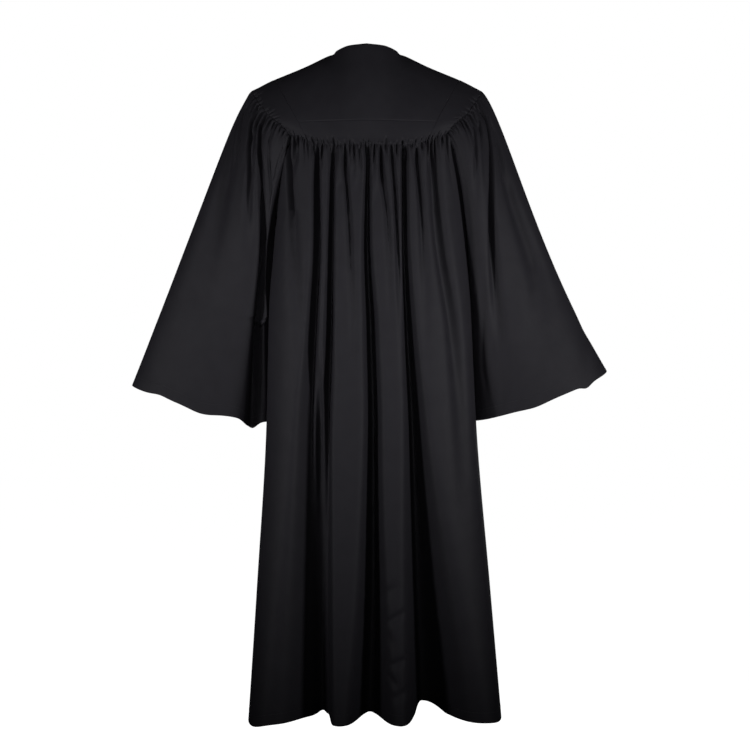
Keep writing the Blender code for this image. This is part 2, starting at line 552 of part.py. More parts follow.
def crease_depths(paths, turns, points, down):
    """How far the creases press in a row of the sleeve."""
    total = np.zeros(len(turns))
    along = np.concatenate([[0], np.cumsum(np.linalg.norm(np.diff(points, axis=0), axis=1))])
    for crease, near in paths:
        turn = float(smooth(down, near[:, 0], near[:, 1])[0])
        depth = float(np.interp(down, near[:, 0], crease.depth))
        if near[-1, 0] < 0.95:
            depth *= math.exp(-(max(down - near[-1, 0], 0) / CREASE_FADE) ** 2)
        depth *= min(1.0, down / CREASE_FADE) * math.exp(-(max(near[0, 0] - down, 0) / CREASE_FADE) ** 2)
        wide = float(np.interp(down, near[:, 0], crease.wide))
        away = along - np.interp(turn, turns, along)
        total += (depth * np.exp(-np.abs(away / wide) ** 2.2)) ** 3
    return np.cbrt(total)


def sleeve_grid(sleeve):
    """Grid of a sleeve, rows from the armhole to the cuff, columns all round it."""
    loop_turns, loop = armhole_loop(sleeve.side)
    paths = crease_paths(sleeve, loop_turns, loop)
    columns = len(loop_turns)
    start = np.append(loop_turns, 1.0)
    turns = np.linspace(0, 1, FINE + 1)
    grid = []
    for down in SLEEVE_ROWS:
        points = sleeve_hull(sleeve, turns, loop_turns, loop, down)
        outward = sleeve_outward(sleeve, turns, loop_turns, loop, down)
        press = crease_depths(paths, turns, points, down)
        puff = SLEEVE_PUFF * (1 - math.exp(-SLEEVE_LENGTH * down / SLEEVE_PUFF_RISE)) * (1 - down) ** 1.5
        near_top = np.clip((STRAP_TURN + 0.06 - np.minimum(turns, 1 - turns)) / 0.12, 0, 1)
        shaped = points + outward * (puff * near_top - press)[:, None]
        blend = min(1.0, down / 0.16)
        blend = blend * blend * (3 - 2 * blend)
        half = columns // 2
        chosen = (1 - blend) * start + blend * spread(turns, shaped, [0.0, 0.5, 1.0], [half, columns - half])
        row = np.stack([np.interp(chosen, turns, shaped[:, k]) for k in range(3)], 1)
        out = np.stack([np.interp(chosen, turns, outward[:, k]) for k in range(3)], 1)
        gather = flute(np.arange(columns + 1), SLEEVE_LENGTH * down)
        gather *= np.clip((STRAP_TURN + 0.04 - np.minimum(chosen, 1 - chosen)) / 0.04, 0, 1)
        row = row + out * gather[:, None]
        grid.append(row[:-1])
    return np.array(grid)


def front_y(x, z):
    """Depth of the front's middle surface near its centre, at x and height z."""
    if z <= BAND_EDGE_Z:
        turns, points, _, _ = body_section(z)
        front = (turns > 150) & (turns < 210)
        return float(np.interp(-x, -points[front, 0], points[front, 1]))
    shares = np.linspace(0, 0.32, 9)
    line = [yoke_point(FRONT_YOKE, LEFT, s, down_at(FRONT_YOKE, s, z))[0] for s in shares]
    return float(np.interp(abs(x), [p[0] for p in line], [p[1] for p in line]))


def solid(name, points, faces, slot, collection):
    """An object from points and faces; every face is turned over if the volume comes out below 0."""
    points = np.array(points, float)
    volume = 0.0
    for face in faces:
        for k in range(1, len(face) - 1):
            volume += np.dot(points[face[0]], np.cross(points[face[k]], points[face[k + 1]]))
    mesh = bpy.data.meshes.new(name)
    mesh.from_pydata([tuple(p) for p in points], [], faces if volume > 0 else [f[::-1] for f in faces])
    mesh.materials.append(slot)
    obj = bpy.data.objects.new(name, mesh)
    collection.objects.link(obj)
    return obj


def ring_solid(name, rings, slot, collection, looped=False):
    """A closed object through rings of equal point counts, with flat ends or looped round."""
    rings = np.array(rings)
    rows, columns = rings.shape[:2]
    faces = []
    if not looped:
        faces = [tuple(reversed(range(columns))), tuple((rows - 1) * columns + c for c in range(columns))]
    for r in range(rows if looped else rows - 1):
        for c in range(columns):
            a, b = r * columns + c, r * columns + (c + 1) % columns
            c_low, d_low = (r + 1) % rows * columns + c, (r + 1) % rows * columns + (c + 1) % columns
            faces.append((a, b, d_low, c_low))
    return solid(name, rings.reshape(-1, 3), faces, slot, collection)


def add_zip(tape, robe):
    """The zip: a tape behind the two front edges with the raised chain between them."""
    under = -(CLOTH / 2 + PLAY)
    half, chain = TAPE_WIDTH / 2, CHAIN_WIDTH / 2
    profile = [(half, under), (half * 0.6, under), (chain, under), (chain, CHAIN_TOP), (-chain, CHAIN_TOP),
               (-chain, under), (-half * 0.6, under), (-half, under), (-half, under - TAPE_THICK),
               (-half * 0.6, under - TAPE_THICK), (0, under - TAPE_THICK), (half * 0.6, under - TAPE_THICK),
               (half, under - TAPE_THICK)]
    rings = []
    levels = [BAND_EDGE_Z - d for d in BODY_DROPS[:-1]] + [BAND_EDGE_Z + SEAM, ZIP_END_Z]
    levels += [BAND_EDGE_Z - d for d in ARMHOLE_DROPS[1:]]
    levels += list(np.linspace(ZIP_TOP_Z, BAND_EDGE_Z + SEAM, 7)[:-1])
    for z in sorted(levels, reverse=True):
        rings.append([(x, front_y(x if abs(x) > chain else FRONT_EDGE_X, z) - off, z) for x, off in profile])
    ring_solid("zip", rings, tape, robe)


def slider_frame():
    """Matrix of the slider: local x across, y outward off the cloth, z up along it."""
    low, high = (Vector((0, front_y(FRONT_EDGE_X, SLIDER_Z + d), SLIDER_Z + d)) for d in (-0.006, 0.006))
    up = (high - low).normalized()
    out = Vector((1, 0, 0)).cross(up)
    matrix = Matrix((Vector((1, 0, 0)), -out if out.y > 0 else out, up)).transposed().to_4x4()
    return Matrix.Translation((low + high) / 2) @ matrix


def prism(name, outline, half_width, frame, slot, collection):
    """A prism across the slider's frame: its outline is in (outward, up)."""
    rings = [[tuple(frame @ Vector((x, y, z))) for y, z in outline] for x in (-half_width, half_width)]
    return ring_solid(name, rings, slot, collection)


def add_slider(metal, robe, cutters):
    """The slider on the chain with its arch, and the pull tab that swings in the arch."""
    frame = slider_frame()
    base, top = CHAIN_TOP + PLAY, CHAIN_TOP + PLAY + SLIDER_THICK
    long = SLIDER_LENGTH / 2
    plate = ((base, -long + 2 * MM), (top, -long), (top, long - MM), (base, long))
    slider = prism("zip_slider", plate, SLIDER_WIDTH / 2, frame, metal, robe)
    inner, outer = ARCH_GAP, ARCH_GAP + ARCH_WALL
    low, roof = base + SLIDER_THICK / 2, PIVOT_HEIGHT + ARCH_GAP
    arch = ((low, -outer), (roof + ARCH_WALL, -outer), (roof + ARCH_WALL, outer), (low, outer),
            (low, inner), (roof, inner), (roof, -inner), (low, -inner))
    bridge = prism("bridge", arch, ARCH_WIDTH / 2, frame, metal, cutters)
    bridge.hide_render = True
    bridge.display_type = "WIRE"
    step = slider.modifiers.new("Bridge", "BOOLEAN")
    step.operation = "UNION"
    step.solver = "EXACT"
    step.object = bridge
    rings = []
    for outline, side in ((PULL_OUTLINE, 1), (PULL_OUTLINE, -1), (PULL_WINDOW, -1), (PULL_WINDOW, 1)):
        height = PIVOT_HEIGHT + side * PULL_THICK / 2
        rings.append([tuple(frame @ Vector((x * MM, height, z * MM))) for x, z in outline])
    ring_solid("zip_pull", rings, metal, robe, looped=True)


def material(name, colour, roughness, metallic=0.0):
    made = bpy.data.materials.new(name)
    made.use_nodes = True
    shader = made.node_tree.nodes["Principled BSDF"]
    shader.inputs["Base Color"].default_value = (*colour, 1)
    shader.inputs["Roughness"].default_value = roughness
    shader.inputs["Metallic"].default_value = metallic
    made.diffuse_color = (*colour, 1)
    return made


def clear_scene():
    for obj in list(bpy.data.objects):
        bpy.data.objects.remove(obj)


def main():
    clear_scene()
    robe = bpy.data.collections.new("Clergy robe")
    bpy.context.scene.collection.children.link(robe)
    cloth = material("black robe cloth", (0.012, 0.012, 0.014), 0.8)
    add_body(cloth, robe)
    add_yoke(cloth, robe)
    for sleeve in SLEEVES:
        name = "sleeve_left" if sleeve.side == LEFT else "sleeve_right"
        wall(name, sleeve_grid(sleeve), CLOTH, cloth, robe, outward=-sleeve.side, closed=True)
    cutters = bpy.data.collections.new("Cutters")
    bpy.context.scene.collection.children.link(cutters)
    add_zip(material("black zip tape", (0.010, 0.010, 0.011), 0.7), robe)
    add_slider(material("black zip metal", (0.020, 0.020, 0.022), 0.35, 1.0), robe, cutters)


def add_body(cloth, robe):
    """The back panel and the two front panels."""
    back = body_panel(BACK, BACK_FOLDS, lambda z: panel_edge(z, BACK, RIGHT),
                      lambda z: panel_edge(z, BACK, LEFT), BACK_COLUMNS)
    wall("back", back, CLOTH, cloth, robe)
    left = body_panel(FRONT, LEFT_FOLDS, lambda z: panel_edge(z, FRONT, LEFT),
                      lambda z: turn_at_x(z, FRONT_EDGE_X, FRONT), FRONT_COLUMNS)
    wall("front_left", left, CLOTH, cloth, robe)
    right = body_panel(FRONT, RIGHT_FOLDS, lambda z: turn_at_x(z, -FRONT_EDGE_X, FRONT),
                       lambda z: panel_edge(z, FRONT, RIGHT), FRONT_COLUMNS)
    wall("front_right", right, CLOTH, cloth, robe)


def add_yoke(cloth, robe):
    """The yoke's pieces: middle, band and two straps behind, one piece on each side in front."""
    right = [(RIGHT, share) for share in np.linspace(STRAP_SHARE - YOKE_GAP, 0, 11)[:-1]]
    left = [(LEFT, share) for share in np.linspace(0, STRAP_SHARE - YOKE_GAP, 11)]
    wall("yoke_back", yoke_grid(BACK_YOKE, right + left, None, YOKE_SEAM_Z + SEAM / 2, 8), CLOTH, cloth, robe)
    band = yoke_grid(BACK_YOKE, right + left, YOKE_SEAM_Z - SEAM / 2, BAND_EDGE_Z, 3)
    wall("band_back", band, BAND_CLOTH, cloth, robe)
    for side, name in ((LEFT, "left"), (RIGHT, "right")):
        shares = np.linspace(STRAP_SHARE + YOKE_GAP, 1, 4)[::side]
        strap = yoke_grid(BACK_YOKE, [(side, share) for share in shares], None, BAND_EDGE_Z, 10)
        wall(f"strap_{name}", strap, BAND_CLOTH, cloth, robe)
        shares = np.linspace(0, 1, 12)[::-side]
        front = yoke_grid(FRONT_YOKE, [(side, share) for share in shares], None, BAND_EDGE_Z, 9)
        wall(f"yoke_front_{name}", front, CLOTH, cloth, robe)


main()
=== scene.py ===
"""Clergy robe: the cloth, sewing and zip of the visual model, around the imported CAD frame.

The body, the yoke and the sleeves follow the CAD's own curves, in metres, on finer grids. Each
grid of points is worked out with numpy as whole arrays, gets its gathers, creases and turned
edges, and becomes a thin closed wall of cloth.
"""

import logging
import math
from dataclasses import dataclass
from enum import Enum

import bpy
import numpy as np
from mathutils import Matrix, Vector


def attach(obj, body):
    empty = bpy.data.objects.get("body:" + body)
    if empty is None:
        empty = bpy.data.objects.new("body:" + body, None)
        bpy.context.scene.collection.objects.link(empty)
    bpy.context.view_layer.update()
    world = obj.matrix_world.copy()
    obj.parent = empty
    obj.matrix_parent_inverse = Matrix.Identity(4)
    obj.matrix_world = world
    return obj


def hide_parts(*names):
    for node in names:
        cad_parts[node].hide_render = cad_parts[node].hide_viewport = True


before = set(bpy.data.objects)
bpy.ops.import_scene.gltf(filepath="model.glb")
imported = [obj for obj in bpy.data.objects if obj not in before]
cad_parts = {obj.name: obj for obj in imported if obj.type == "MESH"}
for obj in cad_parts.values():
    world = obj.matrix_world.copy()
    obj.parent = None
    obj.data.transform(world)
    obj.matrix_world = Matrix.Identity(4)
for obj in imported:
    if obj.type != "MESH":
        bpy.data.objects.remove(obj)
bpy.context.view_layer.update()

Array = np.ndarray
Piece = bpy.types.Object
Tree = bpy.types.NodeTree
Node = bpy.types.Node
Socket = bpy.types.NodeSocket
Point = tuple[float, float, float]
log = logging.getLogger("clergy_robe")

MM = 0.001

# Heights of the seams and edges, and the yoke's corners, as in the CAD.
YOKE_SEAM_Z = -0.156
BAND_EDGE_Z = -0.205
UNDERARM_Z = -0.360
HEM_Z = -1.312
YOKE_CORNER_X = 0.156
# Place of the strap's inner edge between the middle and the sleeve, and how far the yoke leans to +X.
STRAP_SHARE = 0.78
YOKE_LEAN = 0.003
# The yoke's lower corners are rounded: how far up the edge goes, over what width, and how far down
# the cloth below follows it.
CORNER_LIFT = 26 * MM
CORNER_WIDE = 0.042
CORNER_FADE = 0.100
# Valleys of the gathers draw the yoke's edge down by this share of their depth, over this length.
SEAM_WAVER = 0.35
WAVER_FADE = 0.03
# Share of a panel's width beside its edges over which the gathers fade in.
PLAIN_EDGE = 1 / 60
# Folds deeper than the second value lift the hem by the first, for each metre more.
HEM_LIFT = 0.22
HEM_LIFT_FROM = 0.090
# Gaps between neighbouring pieces.
SIDE_SEAM = 0.9 * MM
ARMHOLE_SEAM = 1.0 * MM
STRAP_SEAM = 0.9 * MM
BAND_SEAM = 0.15 * MM
# Gap beside a strap as a share of the yoke's half width, and how much of the sleeve's gathers it takes.
SEAM_SHARE = 0.001
STRAP_PUCKER = 0.4
# The front edges lie this far from the middle, over the zip.
FRONT_EDGE_X = 4.2 * MM
ZIP_TOP_Z = -0.146
ZIP_END_Z = -1.306
TAPE_WIDTH = 28 * MM

# Cloth walls: how far the two faces lie off the middle surface.
CLOTH_OUT = 0.40 * MM
CLOTH_IN = 0.40 * MM
BAND_OUT = 0.90 * MM
HEM_FOLD = 1.10 * MM

# The body puffs out below the yoke, and its folds begin there.
PUFF = 6 * MM
PUFF_RISE = 18 * MM
FOLD_RISE = 14 * MM
# Power of the bell that is a fold's section: over 2 is flatter in the valley and steeper beside it.
FOLD_SHAPE = 2.2
# Turns of the hollows at both sides, of which one is met from either end.
SIDE_TURNS = (-90.0, 90.0, 270.0)
# The body's columns follow the folds fully from this far below the yoke.
FOLLOW_DROP = 0.150
# The sleeve's length, the puff of its head, the turn where the strap ends, and how its creases fade.
SLEEVE_LENGTH = 0.62
SLEEVE_PUFF = 11 * MM
SLEEVE_PUFF_RISE = 36 * MM
STRAP_TURN = 0.32
CREASE_FADE = 0.06
# Bodies and slots of the pieces.
ROBE_BODY = "robe"
ROBE_SLOT = "robe cloth"
ZIP_SLOT = "zip tape"


class Face(Enum):
    """Which way a panel faces: the back is towards +Y."""

    BACK = 1
    FRONT = -1


class Side(Enum):
    """The wearer's side: left is towards +X."""

    LEFT = 1
    RIGHT = -1


@dataclass(frozen=True)
class Section:
    """A level section of the body: sizes, how square it is, and its middle's shift along X."""

    z: float
    half_width: float
    back_depth: float
    front_depth: float
    square: float
    shift: float


@dataclass(frozen=True)
class Fold:
    """A long fold, in mm: its x, depth and half widths towards +X and -X at the fold levels."""

    at: tuple[float, ...]
    depth: tuple[float, ...]
    wide_plus: tuple[float, ...]
    wide_minus: tuple[float, ...]


@dataclass(frozen=True)
class Column:
    """A column of the yoke, in mm: from the neckline or ridge to the band's edge, with its handles."""

    share: float
    top: Point
    leave: Point
    x_edge: float
    arrive: Point


@dataclass(frozen=True)
class Crease:
    """A fold of a sleeve, in mm: x and z of three points, with the depth and half width there."""

    face: Face
    x: tuple[float, ...]
    z: tuple[float, ...]
    depth: tuple[float, ...]
    wide: tuple[float, ...]


@dataclass(frozen=True)
class Dent:
    """A small hollow in the back's cloth: its middle, depth, half sizes and slope."""

    x: float
    z: float
    depth: float
    wide: float
    tall: float
    slope: float = 0.0


@dataclass(frozen=True)
class Drop:
    """A place along a hem that hangs lower: its x, how much, and its half width."""

    x: float
    depth: float
    wide: float

    def at(self, x: Array) -> Array:
        """How far the hem hangs lower at each x."""
        return self.depth * bell(x - self.x, self.wide)


SECTIONS = (
    Section(-0.205, 0.194, 0.112, 0.108, 2.5, -0.004),
    Section(-0.300, 0.194, 0.122, 0.115, 2.6, -0.005),
    Section(-0.383, 0.197, 0.130, 0.121, 2.8, -0.005),
    Section(-0.503, 0.205, 0.138, 0.127, 3.1, -0.004),
    Section(-0.763, 0.212, 0.151, 0.139, 3.7, -0.007),
    Section(-1.066, 0.231, 0.168, 0.155, 4.6, -0.011),
    Section(-1.340, 0.250, 0.186, 0.172, 5.8, -0.014),
)
FOLD_LEVELS = (-0.245, -0.385, -0.570, -0.765, -1.010, -1.312)
FOLDS = {
    Face.BACK: (
        Fold((155, 144, 130, 126, 124, 122), (21, 14, 3, 0, 0, 0),
             (5, 6, 10, 12, 12, 12), (5, 7, 12, 12, 12, 12)),
        Fold((92, 90, 94, 96, 94, 90), (0, 0, 0, 48, 64, 82),
             (16, 16, 16, 16, 20, 22), (14, 14, 14, 14, 15, 14)),
        Fold((100, 99, 107, 115, 110, 100), (22, 34, 37, 42, 56, 70),
             (6, 8, 10, 16, 30, 52), (6, 7, 9, 12, 18, 24)),
        Fold((69, 71, 73, 78, 79, 78), (20, 34, 42, 50, 64, 82),
             (5, 6, 8, 12, 20, 24), (5, 5, 6, 6, 7, 8)),
        Fold((44, 35, 30, 30, 30, 30), (13, 11, 2, 0, 0, 0),
             (4, 5, 5, 5, 5, 5), (5, 6, 6, 6, 6, 6)),
        Fold((0, 1, -6, -11, -11, -4), (22, 36, 48, 58, 74, 96),
             (5, 7, 10, 12, 18, 28), (5, 6, 10, 10, 14, 30)),
        Fold((-26, -39, -42, -43, -44, -44), (13, 7, 0, 0, 0, 0),
             (5, 5, 5, 5, 5, 5), (5, 6, 6, 6, 6, 6)),
        Fold((-49, -57, -64, -72, -82, -90), (11, 13, 3, 0, 0, 0),
             (4, 5, 6, 8, 8, 8), (4, 5, 6, 8, 8, 8)),
        Fold((-71, -72, -80, -91, -98, -108), (22, 36, 48, 64, 92, 140),
             (5, 6, 10, 14, 18, 22), (5, 6, 9, 15, 36, 70)),
        Fold((-96, -105, -110, -112, -112, -112), (14, 10, 1, 0, 0, 0),
             (5, 6, 8, 8, 8, 8), (5, 6, 8, 8, 8, 8)),
        Fold((-127, -139, -165, -180, -186, -190), (16, 22, 16, 8, 0, 0),
             (9, 12, 14, 18, 18, 18), (9, 12, 16, 18, 18, 18)),
    ),
    Face.FRONT: (
        Fold((36, 41, 46, 50, 55, 62), (9, 24, 34, 44, 58, 74),
             (6, 7, 10, 12, 18, 26), (6, 7, 8, 10, 12, 16)),
        Fold((70, 78, 86, 90, 92, 94), (9, 14, 8, 0, 0, 0),
             (6, 7, 8, 8, 8, 8), (6, 7, 8, 8, 8, 8)),
        Fold((104, 110, 120, 128, 136, 146), (10, 26, 36, 48, 62, 80),
             (6, 8, 11, 14, 22, 34), (6, 7, 9, 11, 14, 18)),
        Fold((-40, -44, -48, -54, -58, -60), (9, 26, 36, 46, 56, 70),
             (6, 7, 8, 10, 12, 16), (6, 7, 10, 13, 20, 28)),
        Fold((-78, -84, -92, -96, -98, -100), (9, 12, 6, 0, 0, 0),
             (6, 7, 8, 8, 8, 8), (6, 7, 8, 8, 8, 8)),
        Fold((-110, -118, -126, -132, -142, -150), (10, 28, 38, 46, 60, 84),
             (6, 7, 9, 11, 14, 18), (6, 8, 11, 14, 24, 36)),
    ),
}
SIDE_DEPTH = (0.000, 0.012, 0.024, 0.030, 0.038, 0.052)
SIDE_WIDE = (0.030, 0.034, 0.038, 0.040, 0.040, 0.042)

YOKE_COLUMNS = {
    Face.BACK: (
        Column(0.00, (0, 72, 3.4), (0, 30, -55), 0, (0, 0, 65)),
        Column(0.12, (34, 62.4, 2), (9, 31, -52), 19, (2, 0, 65)),
        Column(0.24, (60, 30, -0.2), (12, 36, -36), 37, (5, 0, 65)),
        Column(0.35, (70, 0.3, -0.6), (6, 48, -12), 55, (8, 0, 65)),
        Column(0.55, (122, 0.4, -24.7), (-2, 60, -6), 84, (12, 0, 62)),
        Column(0.78, (190, 0.8, -52.5), (-8, 50, -14), 119, (20, 4, 55)),
        Column(1.00, (234, 1.4, -75.5), (-18, 35, -30), 156, (25, 12, 45)),
    ),
    Face.FRONT: (
        Column(0.00, (4.2, -94, -134), (0, -6, -24), 4.2, (0, 0, 20)),
        Column(0.16, (23, -80, -88), (2, -12, -36), 26, (1, 0, 34)),
        Column(0.32, (45, -53, -42), (4, -26, -40), 50, (2, 0, 50)),
        Column(0.44, (61, -24, -13), (6, -38, -26), 70, (4, 0, 60)),
        Column(0.52, (70, -0.3, -0.6), (6, -46, -12), 84, (8, 0, 62)),
        Column(0.68, (122, -0.4, -24.7), (-2, -56, -6), 106, (12, 0, 62)),
        Column(0.85, (190, -0.6, -52.5), (-8, -46, -14), 132, (20, -4, 55)),
        Column(1.00, (234, -1.1, -75.5), (-18, -33, -30), 156, (25, -10, 45)),
    ),
}
FRONT_RIDGE_SHARE = 0.52
# Rows of a body panel near the seam, between and near the hem, and how far down the last begin.
PANEL_ROWS = {Face.BACK: (46, 27, 44, 0.840), Face.FRONT: (46, 34, 5, 1.060)}
SEAM_REACH = 0.130
# A sleeve's last two rows are this share of its length apart, and close a sharp cuff edge.
LAST_STEP = 0.002
# Fine columns that a sleeve or panel is measured on before its own are laid evenly.
FINE_COLUMNS = 1200
PANEL_FINE_COLUMNS = 1600
# Columns and rows of the yoke's grids.
BACK_GRID = (201, 56)
BAND_ROWS = 40
STRAP_GRID = (40, 130)
FRONT_GRID = (96, 80)
# Samples down the yoke's columns, down the armhole, and along the yoke's lower edge.
EDGE_SAMPLES = 161
ARM_SAMPLES = 121
SEAM_SAMPLES = 401
# How far down the strips beside the armholes open, and where they end, as a share of the turn.
STRIP_DROP = 0.42
STRIP_INNER = 0.93
# Flutes along the yoke's lower edge, and along each sleeve's head.
FLUTES = {Face.BACK: 32, Face.FRONT: 30}
FLUTE_SEEDS = {Face.BACK: 3, Face.FRONT: 5}
SLEEVE_FLUTES = 30
SLEEVE_SEEDS = {Side.LEFT: 13, Side.RIGHT: 17}

CUFF_SHARES = ((0.00, 0.00), (0.08, 0.42), (0.16, 0.62), (0.32, 0.86), (0.50, 1.00))
# Threads of a sleeve by their turn: the handle leaving the armhole and the one at the cuff.
THREADS = (
    (0.00, (0.076, 0.000, -0.175), (-0.078, 0.000, 0.200)),
    (0.10, (0.072, 0.024, -0.150), (-0.060, 0.004, 0.200)),
    (0.20, (0.062, 0.034, -0.120), (-0.040, 0.006, 0.200)),
    (0.32, (0.052, 0.014, -0.080), (-0.006, 0.004, 0.200)),
    (0.42, (0.026, 0.006, -0.100), (-0.002, 0.002, 0.160)),
    (0.50, (0.012, 0.000, -0.120), (-0.002, 0.000, 0.130)),
)
CREASES = {
    Side.LEFT: (
        Crease(Face.BACK, (229, 232, 234), (-150, -260, -360), (14, 15, 3), (4, 5, 8)),
        Crease(Face.BACK, (209, 208, 222), (-160, -430, -745), (16, 26, 28), (4, 8, 20)),
        Crease(Face.BACK, (218, 221, 225), (-150, -200, -270), (5, 7, 2), (3, 4, 6)),
        Crease(Face.BACK, (246, 254, 266), (-120, -175, -260), (6, 9, 2), (4, 6, 9)),
        Crease(Face.BACK, (193, 194, 190), (-190, -240, -300), (5, 7, 2), (3, 4, 5)),
        Crease(Face.BACK, (256, 282, 330), (-120, -270, -480), (6, 9, 4), (10, 16, 30)),
        Crease(Face.FRONT, (230, 252, 300), (-140, -280, -600), (10, 22, 20), (8, 12, 24)),
        Crease(Face.FRONT, (250, 300, 390), (-130, -270, -600), (6, 14, 12), (9, 14, 28)),
    ),
    Side.RIGHT: (
        Crease(Face.BACK, (232, 243, 256), (-140, -330, -550), (18, 26, 6), (4, 6, 10)),
        Crease(Face.BACK, (281, 330, 342), (-290, -430, -570), (9, 13, 3), (12, 20, 30)),
        Crease(Face.BACK, (250, 262, 274), (-165, -220, -290), (6, 10, 3), (5, 7, 10)),
        Crease(Face.BACK, (206, 209, 211), (-165, -215, -290), (6, 9, 3), (3, 4, 6)),
        Crease(Face.BACK, (218, 222, 226), (-150, -195, -250), (5, 6, 2), (3, 4, 6)),
        Crease(Face.BACK, (228, 229, 229), (-500, -560, -640), (2, 4, 2), (4, 4, 5)),
        Crease(Face.FRONT, (232, 256, 305), (-140, -290, -600), (10, 20, 22), (8, 12, 22)),
        Crease(Face.FRONT, (252, 296, 380), (-130, -280, -600), (6, 15, 12), (9, 14, 26)),
    ),
}
# Places where the hem or a cuff hangs lower, or higher where the depth is below 0.
HEM_DROPS = (Drop(0.226, 11 * MM, 0.030), Drop(-0.262, 5 * MM, 0.024))
CUFF_DROPS = {
    Side.LEFT: (Drop(0.236, 15 * MM, 0.014), Drop(0.330, 9 * MM, 0.036), Drop(0.415, -4 * MM, 0.020)),
    Side.RIGHT: (Drop(-0.434, 7 * MM, 0.012), Drop(-0.330, 4 * MM, 0.030)),
}
# The hem's drops grow from this height down, over this length.
DROP_FROM_Z = -1.0
DROP_REACH = 0.3
# Small hollows across the ridge right of the middle, low on the back.
DENTS = (
    Dent(-0.040, -1.062, 5.0 * MM, 0.016, 0.006, -0.5),
    Dent(-0.052, -1.112, 8.0 * MM, 0.020, 0.006, -0.6),
    Dent(-0.040, -1.150, 4.0 * MM, 0.010, 0.012, 0.8),
    Dent(-0.056, -1.196, 7.0 * MM, 0.018, 0.006, -0.4),
    Dent(-0.044, -1.226, 7.0 * MM, 0.012, 0.007, 0.9),
    Dent(-0.060, -1.256, 6.0 * MM, 0.016, 0.007, -0.5),
)


def smooth(x: Array | float, knots: Array | tuple, values: Array | tuple) -> Array:
    """A curve through the values at the knots that never swings past them.

    Each stretch is a cubic whose end slopes are the harmonic means of the steps beside them.

    Args:
        x: Where the curve is read, one dimension.
        knots: Where the values stand, rising or falling.
        values: One number or one point for each knot.

    Returns:
        The values at x.
    """
    x = np.atleast_1d(np.asarray(x, float))
    knots, values = np.asarray(knots, float), np.asarray(values, float)
    if knots[0] > knots[-1]:
        knots, values = knots[::-1], values[::-1]
    steps = (np.diff(values, axis=0).T / np.diff(knots)).T
    product = np.maximum(steps[1:] * steps[:-1], 0)
    inner = 2 * product / np.where(product > 0, steps[1:] + steps[:-1], 1)
    slopes = np.concatenate([steps[:1], inner, steps[-1:]])
    x = np.clip(x, knots[0], knots[-1])
    k = np.clip(np.searchsorted(knots, x, side="right") - 1, 0, len(knots) - 2)
    width = knots[k + 1] - knots[k]
    t = (x - knots[k]) / width
    if values.ndim > 1:
        t, width = t[:, None], width[:, None]
    return (
        values[k] * (1 + 2 * t) * (1 - t) ** 2
        + slopes[k] * width * t * (1 - t) ** 2
        + values[k + 1] * t * t * (3 - 2 * t)
        + slopes[k + 1] * width * t * t * (t - 1)
    )


def pick(rows: Array, low: float, high: float, x: Array) -> Array:
    """Each row's value at x, straight between samples that run evenly from low to high."""
    place = np.clip((x - low) / (high - low), 0, 1) * (rows.shape[1] - 1)
    first = np.minimum(place.astype(int), rows.shape[1] - 2)
    share = place - first
    return (np.take_along_axis(rows, first, 1) * (1 - share)
            + np.take_along_axis(rows, first + 1, 1) * share)


def lengths_along(points: Array, axis: int = 1) -> Array:
    """Length walked along an axis of a grid of points, from 0."""
    step = np.linalg.norm(np.diff(points, axis=axis), axis=-1)
    start = np.zeros_like(np.take(step, [0], axis))
    return np.concatenate([start, np.cumsum(step, axis)], axis)


def ease(t: Array | float) -> Array:
    """0 to 1 with no corner at either end."""
    t = np.clip(t, 0, 1)
    return t * t * (3 - 2 * t)


def unit(vectors: Array) -> Array:
    """The vectors brought to length 1."""
    return vectors / np.maximum(np.linalg.norm(vectors, axis=-1, keepdims=True), 1e-12)


def bell(away: Array, wide: Array | float, power: float = 2.0) -> Array:
    """1 where away is 0, falling smoothly to nothing past the half width."""
    return np.exp(-np.abs(away / wide) ** power)


def rising(way: Array, reach: float) -> Array:
    """0 up to the start of the way, then quickly towards 1 over the reach."""
    return 1 - np.exp(-np.maximum(way, 0) / reach)


def bent(start: Array, leave: Array, arrive: Array, end: Array, t: Array) -> Array:
    """Points of a cubic curve from start to end, drawn out by a handle at either end."""
    return (start * (1 - t) ** 3 + 3 * (start + leave) * t * (1 - t) ** 2
            + 3 * (end + arrive) * t * t * (1 - t) + end * t ** 3)


def corner_lift(x: Array) -> Array:
    """How far the rounded corners lift the yoke's lower edge at each x."""
    return CORNER_LIFT * bell(YOKE_CORNER_X - np.abs(x), CORNER_WIDE)


def clear_of_zip(x: Array) -> Array:
    """0 on the zip's tape, rising to 1 beside it, for the gathers of the front."""
    return np.clip((np.abs(x) - TAPE_WIDTH / 2) / TAPE_WIDTH, 0, 1)


def grid_normals(grid: Array, closed: bool) -> Array:
    """Unit normals of a grid: the cross product of its steps along columns and rows.

    Args:
        grid: Points, rows by columns.
        closed: True when the last column joins the first.

    Returns:
        One unit vector for each point.
    """
    across = np.roll(grid, -1, 1) - np.roll(grid, 1, 1) if closed else np.gradient(grid, axis=1)
    return unit(np.cross(across, np.gradient(grid, axis=0)))


